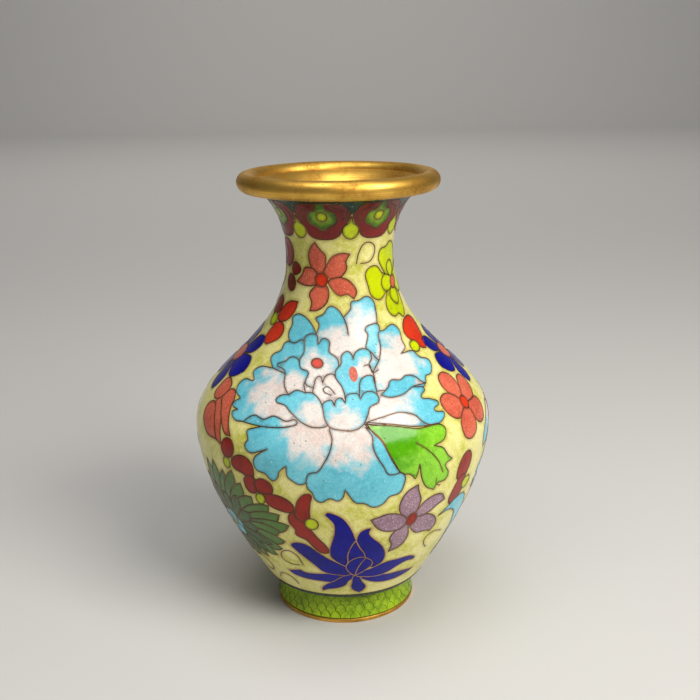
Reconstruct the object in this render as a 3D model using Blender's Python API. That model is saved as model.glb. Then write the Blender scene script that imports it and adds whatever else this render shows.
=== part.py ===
"""Cloisonne vase: copper body, gilt mouth and foot rings, cloison wires and enamel cells.

The vase stands on z = 0 with its axis on Z. Sizes are in millimetres and go to metres at the end.
A place on the body is given by its azimuth (0 faces -Y, positive towards +X) and by `up`, the length
along the outer profile measured from the bottom end of that profile. A depth is measured inwards.
The motifs are drawn on a flat pattern card, which is laid round the body whatever its sizes are.
"""

import bmesh
import bpy
import numpy as np
from mathutils import Vector
from mathutils.geometry import delaunay_2d_cdt

MM = 0.001
SEGMENTS = 36  # facets round a turned piece
GAP = 0.3  # clearance between neighbouring pieces

# Outer profile of the body
PROFILE_START = (22.6, 8.5)  # radius and height where the belly curve begins, hidden behind the foot
BELLY_RADIUS = 42.4
BELLY_HEIGHT = 57.0
BELLY_LOW_HANDLE = 15.5
BELLY_HIGH_HANDLE = 15.8
START_HANDLE = (10.5, 17.0)
NECK_RADIUS = 15.1
NECK_HEIGHT = 104.5
NECK_LOW_HANDLE = 25.2
NECK_HIGH_HANDLE = 7.5
LIP_END = (24.0, 123.0)
LIP_HANDLE = (6.2, 3.0)

# Walls, from the outside in
ENAMEL_WALL = 0.9
ENAMEL_TO_COPPER = 0.5
COPPER_WALL = 1.0
LINING_WALL = 0.8
COPPER_DEPTH = ENAMEL_WALL + ENAMEL_TO_COPPER
COPPER_INNER_DEPTH = COPPER_DEPTH + COPPER_WALL
LINING_CLEARANCE = 0.6
LINING_DEPTH = COPPER_INNER_DEPTH + LINING_CLEARANCE
LINING_INNER_DEPTH = LINING_DEPTH + LINING_WALL

# Mouth ring
RING_RADIUS = 25.17
RING_WIRE_RADIUS = 2.59
RING_HEIGHT = 124.41
RING_SIDES = 12

# Foot
FOOT_HEIGHT = 10.0
FOOT_TOP_RADIUS = 19.9
FOOT_WAIST_RADIUS = 19.5
FOOT_BOTTOM_RADIUS = 20.45
FOOT_RING_HEIGHT = 1.2
FOOT_RING_WIDTH = 3.2
FOOT_RING_EDGE = 0.3
BASE_PLATE_WALL = 1.0
BASE_PLATE_CLEARANCE = 0.45
BASE_ENAMEL_WALL = 0.8
BASE_ENAMEL_CLEARANCE = 0.4

# Seams between the copper shells, and the top of the inner enamel
BELLY_SEAM_HEIGHT = 57.0
NECK_SEAM_HEIGHT = 91.0
LINING_TOP_HEIGHT = 88.0

# Cloison wires and enamel cells
WIRE_WIDTH = 0.4
CELL_GAP = 0.3
MESH_ACROSS = 2 * np.pi / SEGMENTS
MESH_UP = 5.8
MESH_CLEAR = 1.8  # mesh points nearer than this to an outline are left out
MESH_SCALE = 30.0  # millimetres that a radian stands for while a sheet is meshed

# Pattern card: its height at the body's bottom edge, waist of the neck and top edge, and its radii
CARD_BOTTOM = 1.8
CARD_NECK = 109.6
CARD_TOP = 129.9
CARD_RADII = [
    (0.0, 22.6), (15.0, 30.3), (30.0, 37.1), (42.0, 41.0), (53.0, 42.4), (60.0, 40.7), (70.0, 34.6),
    (80.0, 27.4), (90.0, 21.0), (100.0, 16.5), (110.0, 15.1), (120.0, 16.9), (130.0, 23.0),
]

# Collar of ruyi heads under the rim, with a drop between each two
RUYI_COUNT = 7
RUYI_AZIMUTH = -14.5  # of the head that faces the front
RUYI_UP = 121.3
DROP_UP = 118.2
RUYI_PITCH = 360.0 / RUYI_COUNT
SEAM_DEGREES = RUYI_AZIMUTH - 2.5 * RUYI_PITCH  # the ground's seam runs through the middle of a drop
SEAM_AZIMUTH = np.radians(SEAM_DEGREES)


def clear_scene():
    """Removes every object that the file came with."""
    for obj in list(bpy.data.objects):
        bpy.data.objects.remove(obj, do_unlink=True)


def bezier(start, handle_a, handle_b, end, count=120):
    """Points on a cubic Bezier curve."""
    t = np.linspace(0.0, 1.0, count)[:, None]
    points = [np.array(point, float) for point in (start, handle_a, handle_b, end)]
    return (
        (1 - t) ** 3 * points[0]
        + 3 * (1 - t) ** 2 * t * points[1]
        + 3 * (1 - t) * t**2 * points[2]
        + t**3 * points[3]
    )


def outer_profile():
    """The body's outer profile as fine points: belly, shoulder and neck, then the flare of the lip."""
    belly = (BELLY_RADIUS, BELLY_HEIGHT)
    neck = (NECK_RADIUS, NECK_HEIGHT)
    start_handle = (PROFILE_START[0] + START_HANDLE[0], PROFILE_START[1] + START_HANDLE[1])
    lip_handle = (LIP_END[0] - LIP_HANDLE[0], LIP_END[1] - LIP_HANDLE[1])
    low = bezier(PROFILE_START, start_handle, (belly[0], belly[1] - BELLY_LOW_HANDLE), belly)
    middle = bezier(
        belly, (belly[0], belly[1] + BELLY_HIGH_HANDLE), (neck[0], neck[1] - NECK_LOW_HANDLE), neck
    )
    high = bezier(neck, (neck[0], neck[1] + NECK_HIGH_HANDLE), lip_handle, LIP_END)
    return np.vstack([low, middle[1:], high[1:]])


PROFILE = outer_profile()
PROFILE_UP = np.concatenate([[0.0], np.cumsum(np.hypot(*np.diff(PROFILE, axis=0).T))])


def on_profile(up, depth=0.0):
    """Radius and height of the profile at `up`, moved inwards by `depth` along its normal."""
    up = np.asarray(up, float)
    step = 0.25
    radius = np.interp(up, PROFILE_UP, PROFILE[:, 0])
    height = np.interp(up, PROFILE_UP, PROFILE[:, 1])
    before = np.clip(up - step, 0.0, PROFILE_UP[-1])
    after = np.clip(up + step, 0.0, PROFILE_UP[-1])
    run = np.interp(after, PROFILE_UP, PROFILE[:, 0]) - np.interp(before, PROFILE_UP, PROFILE[:, 0])
    rise = np.interp(after, PROFILE_UP, PROFILE[:, 1]) - np.interp(before, PROFILE_UP, PROFILE[:, 1])
    length = np.hypot(run, rise)
    return radius - depth * rise / length, height + depth * run / length


def radius_at(up):
    """Outer radius of the body at `up`."""
    return np.interp(up, PROFILE_UP, PROFILE[:, 0])


def up_at_height(height, depth=0.0):
    """The `up` at which the profile, moved inwards by `depth`, passes the height."""
    places = np.linspace(0.0, PROFILE_UP[-1], 4000)
    heights = on_profile(places, depth)[1]
    return places[np.argmax(heights >= height)]


def up_at_ring():
    """The highest `up` at which every wall of the body is still clear of the mouth ring."""
    places = np.linspace(up_at_height(NECK_HEIGHT), PROFILE_UP[-1], 1500)
    clear = np.full(len(places), np.inf)
    for depth in (0.0, ENAMEL_WALL, COPPER_DEPTH, COPPER_INNER_DEPTH):
        radius, height = on_profile(places, depth)
        clear = np.minimum(clear, np.hypot(radius - RING_RADIUS, height - RING_HEIGHT))
    return places[np.argmax(clear < RING_WIRE_RADIUS + GAP)]


BODY_BOTTOM = up_at_height(FOOT_HEIGHT)
BODY_TOP = up_at_ring()
ROWS = np.linspace(BODY_BOTTOM, BODY_TOP, int((BODY_TOP - BODY_BOTTOM) / MESH_UP) + 1)


def stations(bottom, top):
    """Places up the profile for one wall: its two ends, and the rows between that every wall shares."""
    between = ROWS[(ROWS > bottom + MESH_CLEAR) & (ROWS < top - MESH_CLEAR)]
    return np.concatenate([[bottom], between, [top]])


def finish(name, colour, roughness, metallic=0.0):
    """A Principled BSDF material of the given colour, roughness and metallic value."""
    material = bpy.data.materials.new(name)
    material.use_nodes = True
    shader = material.node_tree.nodes["Principled BSDF"]
    shader.inputs["Base Color"].default_value = (*colour, 1.0)
    shader.inputs["Roughness"].default_value = roughness
    shader.inputs["Metallic"].default_value = metallic
    material.diffuse_color = (*colour, 1.0)
    return material


def add_object(name, builder, material):
    """Turns a finished bmesh in millimetres into a named object in metres."""
    bmesh.ops.scale(builder, vec=Vector((MM, MM, MM)), verts=builder.verts)
    mesh = bpy.data.meshes.new(name)
    builder.to_mesh(mesh)
    builder.free()
    mesh.materials.append(material)
    mesh.shade_smooth()
    mesh.set_sharp_from_angle(angle=np.radians(35.0))
    obj = bpy.data.objects.new(name, mesh)
    bpy.context.scene.collection.objects.link(obj)
    return obj


def turned(name, section, material, closed=True):
    """A turned solid: the section, a list of (radius, height), spun round Z.

    An open section starts and ends on the axis.
    """
    builder = bmesh.new()
    verts = [builder.verts.new((radius, 0.0, height)) for radius, height in section]
    edges = [builder.edges.new(pair) for pair in zip(verts, verts[1:])]
    if closed:
        edges.append(builder.edges.new((verts[-1], verts[0])))
    bmesh.ops.spin(
        builder,
        geom=verts + edges,
        cent=(0.0, 0.0, 0.0),
        axis=(0.0, 0.0, 1.0),
        angle=2 * np.pi,
        steps=SEGMENTS,
        use_merge=True,
    )
    bmesh.ops.remove_doubles(builder, verts=builder.verts, dist=0.001)
    bmesh.ops.recalc_face_normals(builder, faces=builder.faces)
    return add_object(name, builder, material)


def wall_section(ups, outer_depth, inner_depth):
    """Closed section of a wall that follows the profile between two depths."""
    outer = np.column_stack(on_profile(ups, outer_depth))
    inner = np.column_stack(on_profile(ups[::-1], inner_depth))
    return [tuple(point) for point in np.vstack([outer, inner])]


def on_body(azimuth, up, depth):
    """A point on the body, in millimetres."""
    radius, height = on_profile(up, depth)
    return (float(radius * np.sin(azimuth)), float(-radius * np.cos(azimuth)), float(height))


def signed_area(outline):
    """Area of an outline of (azimuth, up), positive when it runs anticlockwise seen from outside."""
    x, y = outline[:, 0], outline[:, 1]
    return 0.5 * np.sum(x * np.roll(y, -1) - np.roll(x, -1) * y)


def offset(outline, distance):
    """The outline grown by a distance in millimetres, measured on the body's surface."""
    scale = radius_at(outline[:, 1])
    ahead = np.roll(outline, -1, axis=0) - outline
    behind = outline - np.roll(outline, 1, axis=0)
    normals = []
    for edge in (ahead, behind):
        normal = np.column_stack([edge[:, 1], -edge[:, 0] * scale])
        normals.append(normal / np.linalg.norm(normal, axis=1, keepdims=True))
    middle = normals[0] + normals[1]
    middle /= np.linalg.norm(middle, axis=1, keepdims=True)
    mitre = np.maximum(np.sum(middle * normals[0], axis=1), 0.6)
    shift = middle * (distance / mitre)[:, None]
    return outline + np.column_stack([shift[:, 0] / scale, shift[:, 1]])


def inside(points, outline):
    """Which points lie inside the outline."""
    x, y = points[:, 0], points[:, 1]
    found = np.zeros(len(points), bool)
    for (x0, y0), (x1, y1) in zip(outline, np.roll(outline, -1, axis=0)):
        if y0 == y1:
            continue
        crosses = ((y0 > y) != (y1 > y)) & (x < (x1 - x0) * (y - y0) / (y1 - y0) + x0)
        found ^= crosses
    return found


def mesh_points(outer, loops):
    """Points of a regular mesh inside `outer`, clear of every outline in `loops`."""
    low, high = outer.min(axis=0), outer.max(axis=0)
    columns = np.arange(SEAM_AZIMUTH, SEAM_AZIMUTH + 2 * np.pi + 0.01, MESH_ACROSS)
    columns = columns[(columns > low[0]) & (columns < high[0])]
    rows = ROWS[(ROWS > low[1]) & (ROWS < high[1])]
    if not len(columns) or not len(rows):
        return np.zeros((0, 2))
    points = np.stack(np.meshgrid(columns, rows), -1).reshape(-1, 2)
    points = points[inside(points, outer)]
    scale = radius_at(points[:, 1])
    for loop in loops:
        fine = np.vstack([loop + (np.roll(loop, -1, axis=0) - loop) * part for part in (0.0, 0.33, 0.66)])
        across = (points[:, None, 0] - fine[None, :, 0]) * scale[:, None]
        rise = points[:, None, 1] - fine[None, :, 1]
        keep = np.hypot(across, rise).min(axis=1) > MESH_CLEAR
        points, scale = points[keep], scale[keep]
    return points


def sheet(name, outer, holes, material, wraps=False, top=0.0, bottom=ENAMEL_WALL):
    """A piece of the skin: the outline `outer` less its holes, between two depths.

    A sheet that wraps has its left and right edges joined into one.
    """
    inner_points = mesh_points(outer, [*holes, outer])
    for hole in holes:
        inner_points = inner_points[~inside(inner_points, hole)]
    loops = [outer, *holes]
    points = np.vstack([*loops, inner_points])
    edges = []
    start = 0
    for loop in loops:
        edges += [(start + i, start + (i + 1) % len(loop)) for i in range(len(loop))]
        start += len(loop)
    flat = [Vector((azimuth * MESH_SCALE, up)) for azimuth, up in points]
    corners, _, triangles, *_ = delaunay_2d_cdt(flat, edges, [], 0, 1e-5)
    corners = np.array([tuple(corner) for corner in corners]) / (MESH_SCALE, 1.0)
    triangles = np.array([tuple(triangle) for triangle in triangles])
    middles = corners[triangles].mean(axis=1)
    keep = inside(middles, outer)
    for hole in holes:
        keep &= ~inside(middles, hole)
    triangles = triangles[keep]
    if wraps:
        place = np.round(corners, 4)
        right = place[:, 0] > place[:, 0].max() - 1e-3
        left = {place[i, 1]: i for i in np.flatnonzero(place[:, 0] < place[:, 0].min() + 1e-3)}
        joined = np.arange(len(corners))
        joined[right] = [left[up] for up in place[right, 1]]
        triangles = joined[triangles]
    builder = bmesh.new()
    used = np.unique(triangles)
    upper = {i: builder.verts.new(on_body(*corners[i], top)) for i in used}
    lower = {i: builder.verts.new(on_body(*corners[i], bottom)) for i in used}
    sides = {}
    for a, b, c in triangles:
        builder.faces.new((upper[a], upper[b], upper[c]))
        builder.faces.new((lower[c], lower[b], lower[a]))
        for pair in ((a, b), (b, c), (c, a)):
            sides[pair] = sides.get(pair, 0) + 1
    for a, b in sides:
        if (b, a) not in sides:
            builder.faces.new((upper[b], upper[a], lower[a], lower[b]))
    bmesh.ops.recalc_face_normals(builder, faces=builder.faces)
    return add_object(name, builder, material)


def placed(points, face=0.0):
    """Outline of (azimuth, up) from points in millimetres across and up on the pattern card.

    `face` is the azimuth in degrees of the meridian that across is measured from. The card's radii say
    how far round a millimetre goes at each height, and its heights are stretched to fit the body.
    """
    points = np.array(points, float)
    heights, radii = np.array(CARD_RADII).T
    azimuth = np.radians(face) + points[:, 0] / np.interp(points[:, 1], heights, radii)
    marks = (BODY_BOTTOM, up_at_height(NECK_HEIGHT), BODY_TOP)
    up = np.interp(points[:, 1], (CARD_BOTTOM, CARD_NECK, CARD_TOP), marks)
    outline = np.column_stack([azimuth, up])
    return outline if signed_area(outline) > 0 else outline[::-1]


def flower(x, up, radius, waist, turn=90.0, petals=5):
    """Outline of a flower with round petals: tip, two shoulders and a waist for each."""
    points = []
    for petal in range(petals):
        middle = np.radians(turn + petal * 360.0 / petals)
        quarter = np.pi / petals / 2
        for angle, reach in ((-2, waist), (-1, radius * 0.92), (0, radius), (1, radius * 0.92)):
            points.append(
                (x + reach * np.cos(middle + angle * quarter), up + reach * np.sin(middle + angle * quarter))
            )
    return points


def oval(x, up, half_width, half_height, lean=0.0, count=12):
    """Outline of an oval that leans by a number of degrees."""
    angle = np.linspace(0.0, 2 * np.pi, count, endpoint=False)
    across, rise = half_width * np.cos(angle), half_height * np.sin(angle)
    turn = np.radians(lean)
    return [
        (x + a * np.cos(turn) - b * np.sin(turn), up + a * np.sin(turn) + b * np.cos(turn))
        for a, b in zip(across, rise)
    ]


def moved(points, x=0.0, up=0.0, scale=1.0, mirrored=False):
    """Points scaled about their own middle, mirrored if asked, and moved."""
    points = np.array(points, float)
    middle = (points.min(axis=0) + points.max(axis=0)) / 2
    points = (points - middle) * scale
    if mirrored:
        points[:, 0] *= -1
    return points + middle + (x, up)


# Outlines of the motifs, in millimetres across and up on the pattern card
PEONY = [
    (-15.0, 88.5), (-14.3, 93.5), (-12.0, 95.2), (-9.0, 94.0), (-6.8, 91.6), (-6.2, 94.8), (-2.7, 97.6),
    (0.0, 96.8), (1.3, 94.8), (3.0, 98.3), (7.0, 99.4), (9.5, 98.2), (10.4, 93.0), (12.0, 90.6),
    (15.3, 91.5), (18.0, 89.3), (18.8, 84.2), (22.0, 82.6), (25.0, 80.0), (28.5, 77.6), (25.5, 74.2),
    (22.8, 72.4), (24.0, 69.2), (28.3, 66.4), (29.6, 63.6), (27.0, 62.2), (21.5, 63.3), (13.0, 65.2),
    (6.4, 65.0), (8.0, 59.5), (12.0, 53.5), (15.2, 50.6), (16.2, 47.6), (14.6, 45.2), (11.5, 43.8),
    (8.0, 41.8), (4.0, 43.6), (0.8, 46.6), (-1.0, 44.9), (-5.3, 43.9), (-8.8, 47.4), (-12.4, 49.3),
    (-14.6, 52.4), (-18.0, 49.3), (-23.0, 51.2), (-23.4, 54.6), (-26.6, 56.2), (-26.4, 60.6),
    (-29.0, 62.6), (-32.6, 63.6), (-32.0, 69.0), (-31.6, 72.4), (-27.6, 75.2), (-25.6, 78.2),
    (-21.0, 79.4), (-20.6, 82.8), (-17.4, 86.4),
]
LEAF = [
    (8.4, 62.7), (20.0, 61.2), (26.0, 60.0), (28.8, 59.6), (28.4, 57.2), (26.8, 56.4), (29.0, 54.0),
    (31.4, 50.8), (29.6, 49.0), (29.4, 46.2), (25.6, 44.4), (22.6, 46.4), (20.6, 50.4), (19.0, 49.4),
    (17.4, 51.4), (13.6, 55.6), (10.4, 60.0),
]
LOTUS = [
    (-14.6, 26.4), (-12.6, 28.0), (-9.8, 27.4), (-3.6, 20.6), (-3.4, 29.0), (-2.4, 34.0), (-4.4, 39.8),
    (-2.2, 39.8), (0.4, 37.8), (2.6, 32.6), (3.6, 30.6), (5.2, 33.4), (7.2, 34.2), (7.4, 31.0),
    (10.8, 25.0), (11.0, 20.4), (12.6, 18.5), (19.2, 18.4), (20.8, 16.4), (15.5, 15.0), (13.4, 12.2),
    (20.4, 10.6), (15.0, 8.2), (7.8, 9.6), (4.0, 5.2), (1.0, 9.6), (-5.8, 6.2), (-4.6, 10.4),
    (-14.6, 11.4), (-16.4, 13.2), (-6.8, 15.2),
]
RED_SPRAY = [
    (-25.4, 48.4), (-22.0, 48.2), (-19.0, 46.4), (-18.8, 44.0), (-15.0, 43.4), (-12.8, 41.4),
    (-10.8, 44.6), (-9.6, 44.6), (-8.8, 38.8), (-6.8, 36.8), (-8.6, 33.4), (-6.0, 28.8), (-8.4, 29.6),
    (-12.6, 31.2), (-14.2, 36.0), (-13.6, 39.6), (-18.4, 40.8), (-21.3, 42.8), (-24.2, 42.0),
    (-26.8, 46.6),
]
CHRYSANTHEMUM = [
    (-31.0, 46.4), (-28.8, 43.4), (-26.6, 40.2), (-22.0, 39.2), (-18.0, 38.4), (-17.0, 34.6),
    (-17.6, 31.4), (-17.4, 29.0), (-18.4, 26.6), (-23.0, 25.6), (-28.0, 26.6), (-32.0, 30.0),
    (-34.0, 35.0), (-34.0, 41.0),
]
CORAL_LEAVES = [
    (-9.4, 72.4), (-5.6, 72.4), (-4.6, 69.4), (-3.0, 67.6), (-1.4, 64.8), (0.4, 61.4), (4.2, 58.6),
    (0.2, 58.2), (-1.8, 56.2), (-6.0, 56.0), (-10.0, 58.0), (-12.0, 61.0), (-9.6, 64.4), (-11.2, 67.0),
]

# Name, colour, azimuth of its meridian in degrees, outline
MOTIFS = [
    ("peony", (0.25, 0.62, 0.70), 0.0, PEONY),
    ("green_leaf", (0.20, 0.55, 0.04), 0.0, LEAF),
    ("lotus", (0.02, 0.03, 0.35), 0.0, LOTUS),
    ("red_spray", (0.28, 0.02, 0.01), 0.0, RED_SPRAY),
    ("chrysanthemum", (0.10, 0.20, 0.04), 0.0, CHRYSANTHEMUM),
    ("coral_leaves", (0.70, 0.17, 0.09), -52.0, CORAL_LEAVES),
    ("lilac_flower", (0.36, 0.22, 0.28), 0.0, flower(18.6, 35.0, 9.4, 3.6, 85.0)),
    ("coral_flower", (0.75, 0.20, 0.11), 52.0, flower(5.0, 63.6, 8.0, 4.2, 110.0)),
    ("neck_flower", (0.55, 0.15, 0.11), 0.0, flower(-4.9, 105.0, 8.6, 3.2, 100.0)),
    ("yellow_flower", (0.58, 0.66, 0.01), 62.0, flower(0.4, 104.2, 9.0, 4.4, 135.0, 4)),
    ("blue_flower_left", (0.02, 0.04, 0.45), -84.0, flower(0.0, 77.0, 10.5, 4.6, 70.0)),
    ("blue_flower_right", (0.02, 0.04, 0.45), 84.0, flower(0.0, 76.0, 9.4, 4.4, 110.0)),
    ("red_blossom_left", (0.45, 0.03, 0.02), -52.0, oval(-1.6, 90.2, 3.4, 5.2)),
    ("red_blossom_right", (0.55, 0.04, 0.02), 52.0, oval(4.2, 88.0, 3.3, 3.8, 20.0)),
    ("side_peony_left", (0.25, 0.62, 0.70), -97.0, moved(PEONY, -3.0, -29.0, 0.72, True)),
    ("side_peony_right", (0.25, 0.62, 0.70), 99.0, moved(PEONY, 1.0, -29.0, 0.72)),
    ("back_lotus", (0.02, 0.03, 0.35), 166.0, moved(LOTUS, 0.0, 5.0, 1.0, True)),
]
RUYI_HEAD = [
    (-6.6, 2.8), (-6.4, -0.4), (-4.0, -3.4), (0.0, -5.2), (4.0, -3.4), (6.4, -0.4), (6.6, 2.8),
    (3.4, 4.6), (0.0, 3.4), (-3.4, 4.6),
]
DROP = [(0.0, 3.0), (-0.9, 1.4), (-1.9, 0.0), (-1.9, -1.4), (0.0, -2.4), (1.9, -1.4), (1.9, 0.0), (0.9, 1.4)]


def build_shells():
    """The three copper shells of the body, and the enamel that lines the belly."""
    low_seam = up_at_height(BELLY_SEAM_HEIGHT)
    high_seam = up_at_height(NECK_SEAM_HEIGHT)
    copper = finish("copper", (0.55, 0.24, 0.10), 0.45, 1.0)
    gilding = finish("gilt_copper", (0.60, 0.36, 0.07), 0.35, 1.0)
    spans = (
        ("belly_shell", BODY_BOTTOM, low_seam - GAP / 2, copper),
        ("shoulder_shell", low_seam + GAP / 2, high_seam - GAP / 2, copper),
        ("neck_shell", high_seam + GAP / 2, BODY_TOP, gilding),
    )
    for name, bottom, top, material in spans:
        section = wall_section(stations(bottom, top), COPPER_DEPTH, COPPER_INNER_DEPTH)
        turned(name, section, material)
    floor = FOOT_HEIGHT + BASE_PLATE_WALL + GAP
    bottom = up_at_height(floor, LINING_DEPTH)
    top = up_at_height(LINING_TOP_HEIGHT, LINING_DEPTH)
    ups = stations(bottom, top)
    outer = np.column_stack(on_profile(ups, LINING_DEPTH))
    inner_ups = ups[on_profile(ups, LINING_INNER_DEPTH)[1] > outer[0, 1] + LINING_WALL + GAP]
    inner = np.column_stack(on_profile(inner_ups[::-1], LINING_INNER_DEPTH))
    inner_floor = outer[0, 1] + LINING_WALL
    section = [(0.0, outer[0, 1]), *map(tuple, outer), *map(tuple, inner)]
    section += [(outer[0, 0] - LINING_WALL, inner_floor), (0.0, inner_floor)]
    lining = finish("lining_enamel", (0.03, 0.22, 0.26), 0.30)
    turned("belly_lining", section, lining, closed=False)


def build_foot():
    """The foot: copper collar, its enamel, gilt edge ring, and the base plate with its enamel."""
    copper = finish("foot_copper", (0.55, 0.24, 0.10), 0.45, 1.0)
    collar_bottom = FOOT_RING_HEIGHT + GAP
    collar_top = FOOT_HEIGHT - GAP
    middle = (collar_bottom + collar_top) / 2
    shape = np.array(
        [(FOOT_BOTTOM_RADIUS, collar_bottom), (FOOT_WAIST_RADIUS, middle), (FOOT_TOP_RADIUS, collar_top)]
    )

    def foot_section(outer_depth, inner_depth):
        outer = shape - (outer_depth, 0.0)
        inner = shape[::-1] - (inner_depth, 0.0)
        return [tuple(point) for point in np.vstack([outer, inner])]

    turned("foot_collar", foot_section(COPPER_DEPTH, COPPER_INNER_DEPTH), copper)
    turned("foot_enamel", foot_section(0.0, ENAMEL_WALL), finish("foot_green", (0.22, 0.42, 0.02), 0.2))
    outer, inner = FOOT_BOTTOM_RADIUS, FOOT_BOTTOM_RADIUS - FOOT_RING_WIDTH
    edge = FOOT_RING_EDGE
    ring = [
        (outer - edge, 0.0), (outer, edge), (outer, FOOT_RING_HEIGHT - edge), (outer - edge, FOOT_RING_HEIGHT),
        (inner, FOOT_RING_HEIGHT), (inner, 0.0),
    ]
    turned("foot_ring", ring, finish("foot_gilding", (0.60, 0.36, 0.07), 0.35, 1.0))
    plate = on_profile(BODY_BOTTOM, COPPER_INNER_DEPTH)[0] - BASE_PLATE_CLEARANCE
    plate_top = FOOT_HEIGHT + BASE_PLATE_WALL
    section = [(0.0, FOOT_HEIGHT), (plate, FOOT_HEIGHT), (plate, plate_top), (0.0, plate_top)]
    turned("base_plate", section, copper, closed=False)
    inside_collar = FOOT_WAIST_RADIUS - COPPER_INNER_DEPTH - BASE_ENAMEL_CLEARANCE
    low = FOOT_HEIGHT - GAP - BASE_ENAMEL_WALL
    section = [(0.0, low), (inside_collar, low), (inside_collar, FOOT_HEIGHT - GAP), (0.0, FOOT_HEIGHT - GAP)]
    turned("base_enamel", section, finish("base_green", (0.05, 0.20, 0.16), 0.3), closed=False)


def build_mouth_ring():
    """The thick gilt ring that closes the lip."""
    angles = np.linspace(0.0, 2 * np.pi, RING_SIDES, endpoint=False)
    section = [
        (RING_RADIUS + RING_WIRE_RADIUS * np.cos(angle), RING_HEIGHT + RING_WIRE_RADIUS * np.sin(angle))
        for angle in angles
    ]
    turned("mouth_ring", section, finish("ring_gilding", (0.58, 0.34, 0.06), 0.35, 1.0))


def build_motif(name, colour, outline):
    """A wire frame and the enamel inside it. Returns the window that they need in the ground."""
    wire = finish(name + "_wire", (0.30, 0.16, 0.07), 0.4, 1.0)
    half = WIRE_WIDTH / 2
    sheet(name + "_wire", offset(outline, half), [offset(outline, -half)], wire)
    sheet(name, offset(outline, -half - CELL_GAP), [], finish(name, colour, 0.12))
    return offset(outline, half + CELL_GAP)


def build_collar():
    """Ruyi heads round the top of the neck, with a drop between each two.

    Returns the windows that they need in the ground, the first one on the ground's seam.
    """
    windows = []
    for index in range(RUYI_COUNT):
        turn = SEAM_DEGREES + index * RUYI_PITCH
        pieces = (
            (f"ruyi_drop_{index + 1}", DROP, turn, DROP_UP, (0.55, 0.62, 0.01)),
            (f"ruyi_head_{index + 1}", RUYI_HEAD, turn + RUYI_PITCH / 2, RUYI_UP, (0.25, 0.02, 0.02)),
        )
        for name, shape, face, up, colour in pieces:
            outline = placed(np.array(shape) + (0.0, up), face)
            sheet(name, outline, [], finish(name, colour, 0.15))
            windows.append(offset(outline, CELL_GAP))
    return windows


def build_ground(seam_window, windows):
    """The pale ground enamel, one skin round the body with a window for each motif.

    Its border goes round one half of the window on the seam at each end.
    """
    columns = np.arange(SEGMENTS + 1) * MESH_ACROSS + SEAM_AZIMUTH
    start = np.argmin(seam_window[:, 1])
    loop = np.roll(seam_window, -start, axis=0)
    half = np.argmax(loop[:, 1]) + 1
    right_half, left_half = loop[:half], np.vstack([loop[half - 1 :], loop[:1]])[::-1]
    below = [row for row in ROWS[1:-1] if row < loop[0, 1] - MESH_CLEAR]
    above = [row for row in ROWS[1:-1] if row > loop[half - 1, 1] + MESH_CLEAR]
    full_turn = (2 * np.pi, 0.0)
    border = [(column, ROWS[0]) for column in columns]
    border += [(columns[-1], row) for row in below]
    border += [tuple(point + full_turn) for point in left_half]
    border += [(columns[-1], row) for row in above]
    border += [(column, ROWS[-1]) for column in columns[::-1]]
    border += [(columns[0], row) for row in above[::-1]]
    border += [tuple(point) for point in right_half[::-1]]
    border += [(columns[0], row) for row in below[::-1]]
    ground = finish("ground_enamel", (0.75, 0.72, 0.32), 0.15)
    sheet("ground_enamel", np.array(border), windows, ground, wraps=True)


def main():
    """Builds the vase from the foot up, then its decoration."""
    clear_scene()
    build_foot()
    build_shells()
    build_mouth_ring()
    windows = [build_motif(name, colour, placed(points, face)) for name, colour, face, points in MOTIFS]
    collar_windows = build_collar()
    build_ground(collar_windows[0], windows + collar_windows[1:])


main()
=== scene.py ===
"""The finished look of a cloisonne vase, built round its CAD frame.

The vase stands on z = 0 with its axis on Z. Sizes are in millimetres and meshes in metres. A place on
a turned surface is (azimuth, up): azimuth 0 faces -Y and grows towards +X, and up is the length along
the surface's profile. The decoration is drawn on flat cards, in millimetres across and up; a card is
laid on the body about one meridian, its face.
"""

import logging
import math
from dataclasses import dataclass, field
from enum import Enum

import bpy
import numpy as np
from mathutils import Matrix, Vector
from mathutils.geometry import delaunay_2d_cdt
from mathutils.kdtree import KDTree


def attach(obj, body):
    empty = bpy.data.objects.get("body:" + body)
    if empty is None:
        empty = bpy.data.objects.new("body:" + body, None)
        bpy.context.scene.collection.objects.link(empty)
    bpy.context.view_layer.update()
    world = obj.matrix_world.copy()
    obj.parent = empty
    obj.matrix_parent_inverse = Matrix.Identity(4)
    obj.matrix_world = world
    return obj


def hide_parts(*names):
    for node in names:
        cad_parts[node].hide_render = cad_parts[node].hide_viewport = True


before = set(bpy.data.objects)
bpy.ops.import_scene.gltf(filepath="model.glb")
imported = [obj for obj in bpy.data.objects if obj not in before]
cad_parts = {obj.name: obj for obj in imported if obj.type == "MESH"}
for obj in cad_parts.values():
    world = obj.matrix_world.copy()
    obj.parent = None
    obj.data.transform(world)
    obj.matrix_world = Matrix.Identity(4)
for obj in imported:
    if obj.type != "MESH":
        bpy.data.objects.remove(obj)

MM = 0.001
SKIN_DEPTH = 0.26  # how far the enamel lies inside the outer profile, so that the wires stay within it
CELL_LIFT = 0.025  # a cell's surface above the ground's
CELL_ROOT = -0.4  # the backs of the cells and the feet of the wires
CURVE_STEP = 0.45  # distance between samples of an outline
MAP_STEP = 1.0  # distance between corners inside a cell
MAP_ROW = 0.87 * MAP_STEP  # distance between their rows, for triangles with nearly equal sides
MAP_MARGIN = 0.45 * MAP_STEP  # how far they stay from an outline
NORMAL_REACH = 0.25  # how far up and down a profile its direction is taken
WIRE_WIDTH = 0.27
WIRE_CROWN = 0.085
CROWN_TURN = 1.15  # half the angle in radians that a wire's crown follows
SHORTEST_RUN = 5  # samples of the shortest stretch of wire that is laid
HIDING_REACH = 0.7 * WIRE_WIDTH  # an outline nearer than this to a later cell's wire has none of its own
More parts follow.
